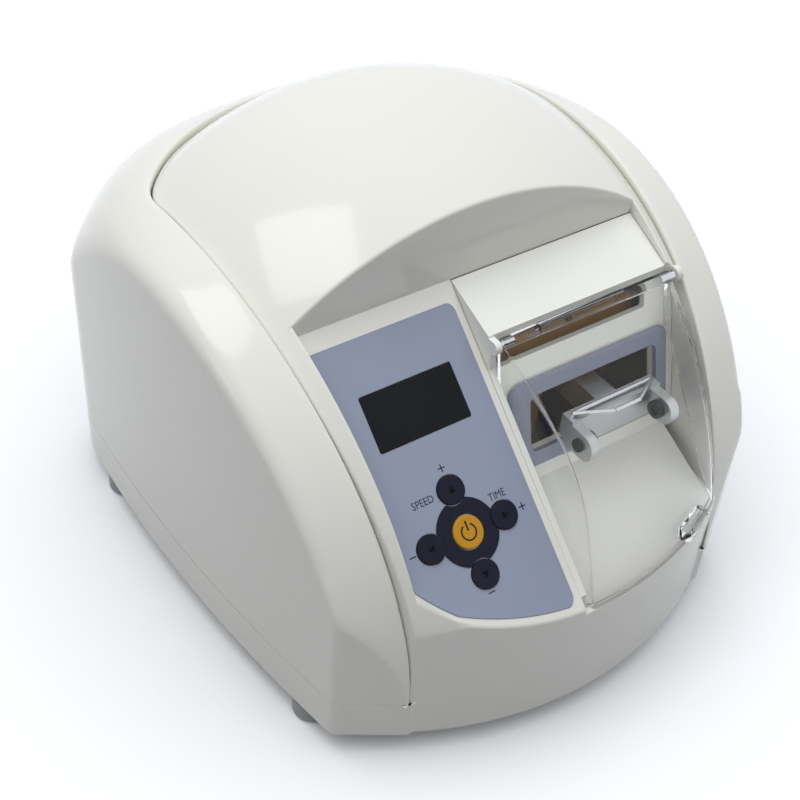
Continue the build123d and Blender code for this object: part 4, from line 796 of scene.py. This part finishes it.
def cover_rows(inset, corner):
    """Sections across the cover: up one cheek, over the front and down the other cheek."""
    rows = []
    for t in steps_between(0.0, 1.0, 56):

        def at(x):
            return (x, *bezier(cover_line(x, inset), t))

        def cheek(x, k):
            foot = (x, *cheek_foot(t, cover_line(x, 0.0)[3][0]))
            return tuple(a + (b - a) * k for a, b in zip(foot, at(x)))

        def rounding(x):
            (_, y0, z0), (_, y1, z1) = cheek(x, 0.0), at(x)
            return min(corner / max(hypot(y1 - y0, z1 - z0), 0.1), 0.6)

        left, right = COVER_LEFT + inset, 70.0
        for _ in range(2):
            right = cover_right(at(right)[1], inset)
        round_left, round_right = 1 - rounding(left), 1 - rounding(right)
        row = [cheek(left, k * round_left) for k in (0.0, 0.35, 0.7)]
        row += bend(cheek(left, round_left), at(left), at(left + corner), 6)
        row += [at(left + corner + (right - left - 2 * corner) * k / 30) for k in range(1, 30)]
        row += bend(at(right - corner), at(right), cheek(right, round_right), 6)
        row += [cheek(right, k * round_right) for k in (0.7, 0.35, 0.0)]
        rows.append(row)
    return rows


def finger_tab(skin):
    """Rounded clear grip on the cover's lower edge, turned with it."""
    cx, turn = 50.0, radians(20)
    cy, cz = nose_y(cx) + 1.6, COVER_LIP_Z + 5.0
    half_long, half_wide, rounding = 6.1, 1.1, 2.4
    outline = []
    for sx, sy, start in ((1, -1, 270.0), (1, 1, 0.0), (-1, 1, 90.0), (-1, -1, 180.0)):
        outline += arc(sx * half_long, sy * half_wide, rounding, start, start + 90.0, 7)
    levels = ((-2.75, 0.86), (-2.3, 0.97), (-1.6, 1.0), (1.6, 1.0), (2.3, 0.97), (2.75, 0.86))
    skin.prism([[(cx + share * (u * cos(turn) - v * sin(turn)),
                  cy + share * (u * sin(turn) + v * cos(turn)), cz + z) for u, v in outline]
                for z, share in levels])


# Section of the tongue that presses the switch, in depth and height from the hinge's middle.
TONGUE = ((0.0, -1.6), (3.5, -3.9), (6.9, -6.2), (6.3, -6.9), (6.4, -7.4), (7.2, -8.1),
          (7.8, -8.1), (9.0, -7.0), (9.7, -5.9), (9.2, -5.2), (4.8, -2.4), (0.0, 0.8))


def cover_skin():
    """Closed clear wall between an outer and an inner skin, with bead, tongue and tab."""
    outside = cover_rows(0.0, 2.6)
    inside = cover_rows(2.3, 0.8)
    skin = Skin()
    skin.grid(outside)
    skin.grid(inside, flip=True)
    for edge in (0, -1):
        skin.grid([outside[edge], inside[edge]], flip=(edge == 0))
    for side in (0, -1):
        skin.grid([[row[side] for row in rows] for rows in (outside, inside)], flip=(side == -1))
    bead = arc(HINGE_Y, HINGE_Z, 2.3, 0.0, 345.0, 24)
    tongue = [(HINGE_Y + y, HINGE_Z + z) for y, z in TONGUE]
    for section, left, right in ((bead, COVER_LEFT, COVER_RIGHT), (tongue, 12.0, 52.0)):
        skin.prism([[(x, y, z) for y, z in section] for x in (left, right)])
    finger_tab(skin)
    return skin


cover = cover_skin().tidy("cover_skin", CLEAR, "clear_acrylic", 40, (0, -1, 0), "cover")
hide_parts("clear_cover")


# ---------------------------------------------------------------- printed marks on the panel
INK_HALF = 0.02


def on_panel(mesh, x, drop, rise):
    """Lay a flat mesh drawn in millimetres on the panel, its up direction towards the brow."""
    for vertex in mesh.vertices:
        u, v, w = vertex.co
        vertex.co = [c * MM for c in panel_point(x + u, drop - v, rise + INK_HALF + w)]


def finished(name, mesh, material, body):
    """Piece with clean outward faces and one material, riding on a body."""
    obj = placed(name, mesh)
    bm = bmesh.new()
    bm.from_mesh(mesh)
    bmesh.ops.remove_doubles(bm, verts=bm.verts, dist=0.0005 * MM)
    bmesh.ops.recalc_face_normals(bm, faces=bm.faces)
    bm.to_mesh(mesh)
    bm.free()
    mesh.materials.clear()
    mesh.materials.append(material)
    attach(obj, body)


def lettering(name, word, x, drop, width, height):
    """Printed word, fitted to its width and height, centred on a place of the panel."""
    line = bpy.data.curves.new(name + "_line", "FONT")
    line.body = word
    line.extrude = INK_HALF
    line.resolution_u = 4
    holder = placed(name + "_line", line)
    mesh = evaluated_mesh(holder)
    bpy.data.objects.remove(holder)
    for k, size in ((0, width), (1, height)):
        low = min(v.co[k] for v in mesh.vertices)
        high = max(v.co[k] for v in mesh.vertices)
        for vertex in mesh.vertices:
            vertex.co[k] = (vertex.co[k] - (low + high) / 2) * size / (high - low)
    on_panel(mesh, x, drop, OVERLAY_TOP_RISE)
    finished(name, mesh, INK, "housing")


def printed_shape(name, outlines, x, drop, rise, material, body):
    """Thin printed prisms from outlines in the plane of the panel, run anticlockwise."""
    verts, faces = [], []
    for outline in outlines:
        start, n = len(verts), len(outline)
        verts += [(u, v, w) for w in (-INK_HALF, INK_HALF) for u, v in outline]
        faces.append(tuple(range(start + n - 1, start - 1, -1)))
        faces.append(tuple(range(start + n, start + 2 * n)))
        faces += grid_faces(2, n, start, closed=True)
    mesh = bpy.data.meshes.new(name)
    mesh.from_pydata(verts, [], faces)
    on_panel(mesh, x, drop, rise)
    finished(name, mesh, material, body)


def bar(length, width):
    """Outline of a straight stroke about its middle."""
    u, v = length / 2, width / 2
    return [(-u, -v), (u, -v), (u, v), (-u, v)]


def arrow(turn):
    """Outline of a small arrowhead that points up before its turn."""
    c, s = cos(radians(turn)), sin(radians(turn))
    corners = ((-1.35, -1.15), (1.35, -1.15), (0.22, 1.35), (-0.22, 1.35))
    return [(u * c - v * s, u * s + v * c) for u, v in corners]


STROKE = 0.42
PLUS, MINUS = [bar(3.0, STROKE), bar(STROKE, 3.0)], [bar(2.8, STROKE)]

lettering("speed_word", "SPEED", -53.8, 68.0, 8.8, 2.7)
lettering("time_word", "TIME", -25.9, 76.2, 6.9, 2.7)
for mark, outlines, x, drop in (("speed_plus", PLUS, -42.1, 59.8), ("time_plus", PLUS, -18.2, 83.7),
                                ("speed_minus", MINUS, -65.0, 83.6),
                                ("time_minus", MINUS, -42.2, 106.0)):
    printed_shape(mark, outlines, x, drop, OVERLAY_TOP_RISE, INK, "housing")

# Each arrow key with its arrow's place from the power key, across and down, and its turn.
KEYS = (("speed_up_key", 0.0, -KEY_SPACING, 0.0), ("time_down_key", 0.0, KEY_SPACING, 180.0),
        ("time_up_key", KEY_SPACING, 0.0, -90.0), ("speed_down_key", -KEY_SPACING, 0.0, 90.0))
for key, dx, dd, turn in KEYS:
    printed_shape(key + "_arrow", [arrow(turn)], KEY_X + dx, KEY_DROP + dd, KEY_TOP_RISE, ARROW_INK,
                  key + "_body")
ring = arc(0.0, 0.0, 3.2, 120, 420, 26) + arc(0.0, 0.0, 2.55, 420, 120, 26)
stroke = [(u, v + 2.3) for u, v in bar(0.75, 3.6)]
printed_shape("power_mark", [ring, stroke], KEY_X, KEY_DROP, KEY_TOP_RISE, MARK_BROWN,
              "power_key_body")


# ---------------------------------------------------------------- rear vent grille
def grille_cell():
    """One bar-to-bar step of the grille: a plate with a long slot rounded at its ends."""
    half_width, half_height = (VENT_BOX[1] - VENT_BOX[0]) / 2, VENT_PITCH / 2
    slot_half, slot_radius, depth = 22.0, 1.5, 3.0
    slot = arc(slot_half - slot_radius, 0.0, slot_radius, -90.0, 90.0, 9)
    slot += arc(slot_radius - slot_half, 0.0, slot_radius, 90.0, 270.0, 9)
    frame_line = []
    for u, v in slot:
        if abs(v) > 0.99 * slot_radius:
            frame_line.append((u, half_height if v > 0 else -half_height))
        else:
            side = half_width if u > 0 else -half_width
            height = v * half_height / slot_radius
            frame_line.append((side, max(-half_height, min(half_height, height))))
    skin = Skin()
    skin.grid([[(u, y, v) for u, v in line] for line, y in
               ((frame_line, 0.0), (slot, 0.0), (slot, -depth), (frame_line, -depth))], closed=True)
    return mesh_of("grille_cell", skin.verts, skin.faces)


def grille_tree():
    """Repeat a cell upwards: rows and pitch are inputs of the group."""
    tree = bpy.data.node_groups.new("stack_of_slots", "GeometryNodeTree")
    socket = tree.interface.new_socket
    socket("Geometry", in_out="INPUT", socket_type="NodeSocketGeometry")
    rows = socket("Rows", in_out="INPUT", socket_type="NodeSocketInt")
    pitch = socket("Pitch", in_out="INPUT", socket_type="NodeSocketVector")
    first = socket("First", in_out="INPUT", socket_type="NodeSocketVector")
    socket("Geometry", in_out="OUTPUT", socket_type="NodeSocketGeometry")
    inside, outside = tree.nodes.new("NodeGroupInput"), tree.nodes.new("NodeGroupOutput")
    line = tree.nodes.new("GeometryNodeMeshLine")
    copies = tree.nodes.new("GeometryNodeInstanceOnPoints")
    real = tree.nodes.new("GeometryNodeRealizeInstances")
    finish = tree.nodes.new("GeometryNodeSetMaterial")
    finish.inputs["Material"].default_value = IVORY
    link = tree.links.new
    link(inside.outputs["Rows"], line.inputs["Count"])
    link(inside.outputs["First"], line.inputs["Start Location"])
    link(inside.outputs["Pitch"], line.inputs["Offset"])
    link(line.outputs["Mesh"], copies.inputs["Points"])
    link(inside.outputs["Geometry"], copies.inputs["Instance"])
    link(copies.outputs["Instances"], real.inputs["Geometry"])
    link(real.outputs["Geometry"], finish.inputs["Geometry"])
    link(finish.outputs["Geometry"], outside.inputs["Geometry"])
    return tree, rows.identifier, pitch.identifier, first.identifier


def vent_grille():
    """All slots of the vent as one piece of the back."""
    tree, rows, pitch, first = grille_tree()
    holder = placed("grille_holder", grille_cell())
    stack = holder.modifiers.new("stack", "NODES")
    stack.node_group = tree
    stack[rows] = VENT_ROWS
    stack[pitch] = (0.0, 0.0, VENT_PITCH * MM)
    stack[first] = (VENT_X * MM, REAR_Y * MM, VENT_LOW * MM)
    mesh = evaluated_mesh(holder)
    holder.modifiers.clear()
    bpy.data.objects.remove(holder)
    finished("rear_vent_grille", mesh, IVORY, "housing")


vent_grille()


# ---------------------------------------------------------------- light, floor and camera
def camera():
    """Camera in front, to the left and above, from its place and its right and up directions."""
    data = bpy.data.cameras.new("camera")
    data.sensor_width = 36.0
    data.lens = 65.09
    obj = placed("camera", data)
    right = Vector((0.8232, -0.5648, 0.0584))
    up = Vector((0.3422, 0.5756, 0.7427))
    back = right.cross(up).normalized()
    up = back.cross(right.normalized())
    turn = Matrix((right.normalized(), up, back)).transposed().to_4x4()
    obj.matrix_world = Matrix.Translation(Vector((-0.2715, -0.3419, 0.4538))) @ turn
    bpy.context.scene.camera = obj


def lamp(name, place, size, power):
    """Square soft box that faces the machine."""
    data = bpy.data.lights.new(name, "AREA")
    data.size = size
    data.energy = power
    obj = placed(name, data)
    obj.location = place
    aim = Vector(LAMP_TARGET) - Vector(place)
    obj.rotation_euler = aim.to_track_quat("-Z", "Y").to_euler()


def seen_directly(tree):
    """One where a ray comes from the camera, a mirror or clear plastic, otherwise nothing."""
    path = tree.nodes.new("ShaderNodeLightPath")
    value = path.outputs["Is Camera Ray"]
    for name in ("Is Glossy Ray", "Is Transmission Ray"):
        larger = tree.nodes.new("ShaderNodeMath")
        larger.operation = "MAXIMUM"
        tree.links.new(value, larger.inputs[0])
        tree.links.new(path.outputs[name], larger.inputs[1])
        value = larger.outputs[0]
    return value


def sky(world):
    """Soft studio light that comes mostly from above, with a white backdrop."""
    tree = world.node_tree
    light = tree.nodes["Background"]
    place = tree.nodes.new("ShaderNodeTexCoord")
    split = tree.nodes.new("ShaderNodeSeparateXYZ")
    ramp = tree.nodes.new("ShaderNodeValToRGB")
    tree.links.new(place.outputs["Generated"], split.inputs["Vector"])
    tree.links.new(split.outputs["Z"], ramp.inputs["Fac"])
    tree.links.new(ramp.outputs["Color"], light.inputs["Color"])
    below, above = ramp.color_ramp.elements
    below.color = (0.02, 0.021, 0.023, 1.0)
    above.color = (0.95, 0.98, 1.02, 1.0)
    ramp.color_ramp.elements.new(0.5).color = (0.24, 0.245, 0.255, 1.0)
    light.inputs["Strength"].default_value = SKY
    white = tree.nodes.new("ShaderNodeBackground")
    white.inputs["Color"].default_value = (1.0, 1.0, 1.0, 1.0)
    mix = tree.nodes.new("ShaderNodeMixShader")
    tree.links.new(seen_directly(tree), mix.inputs[0])
    tree.links.new(light.outputs[0], mix.inputs[1])
    tree.links.new(white.outputs[0], mix.inputs[2])
    tree.links.new(mix.outputs[0], tree.nodes["World Output"].inputs["Surface"])


def floor_finish():
    """White paper to the eye that throws back only part of the light onto the walls."""
    material, tree, surface = shader("studio_floor", (0.95, 0.95, 0.95), 0.95)
    surface.inputs["Specular IOR Level"].default_value = 0.0
    mix = tree.nodes.new("ShaderNodeMix")
    mix.data_type = "RGBA"
    colours = [socket for socket in mix.inputs if socket.type == "RGBA"]
    colours[0].default_value = (0.15, 0.154, 0.163, 1.0)
    colours[1].default_value = (0.97, 0.97, 0.97, 1.0)
    tree.links.new(seen_directly(tree), mix.inputs[0])
    result = [socket for socket in mix.outputs if socket.type == "RGBA"][0]
    tree.links.new(result, surface.inputs["Base Color"])
    return material


def studio():
    """Floor, sky and two soft lamps."""
    floor_mesh = bpy.data.meshes.new("floor")
    floor_mesh.from_pydata([(-6, -6, 0), (6, -6, 0), (6, 6, 0), (-6, 6, 0)], [], [(0, 1, 2, 3)])
    floor = placed("floor", floor_mesh)
    floor_mesh.materials.append(floor_finish())
    world = bpy.data.worlds.new("studio")
    bpy.context.scene.world = world
    world.use_nodes = True
    sky(world)
    lamp("key_light", (-0.5, 0.3, 1.5), 0.7, 3.0)
    lamp("side_light", (-1.5, 0.1, 0.75), 0.45, 0.5)


camera()
studio()
bpy.context.scene.view_settings.view_transform = "Standard"
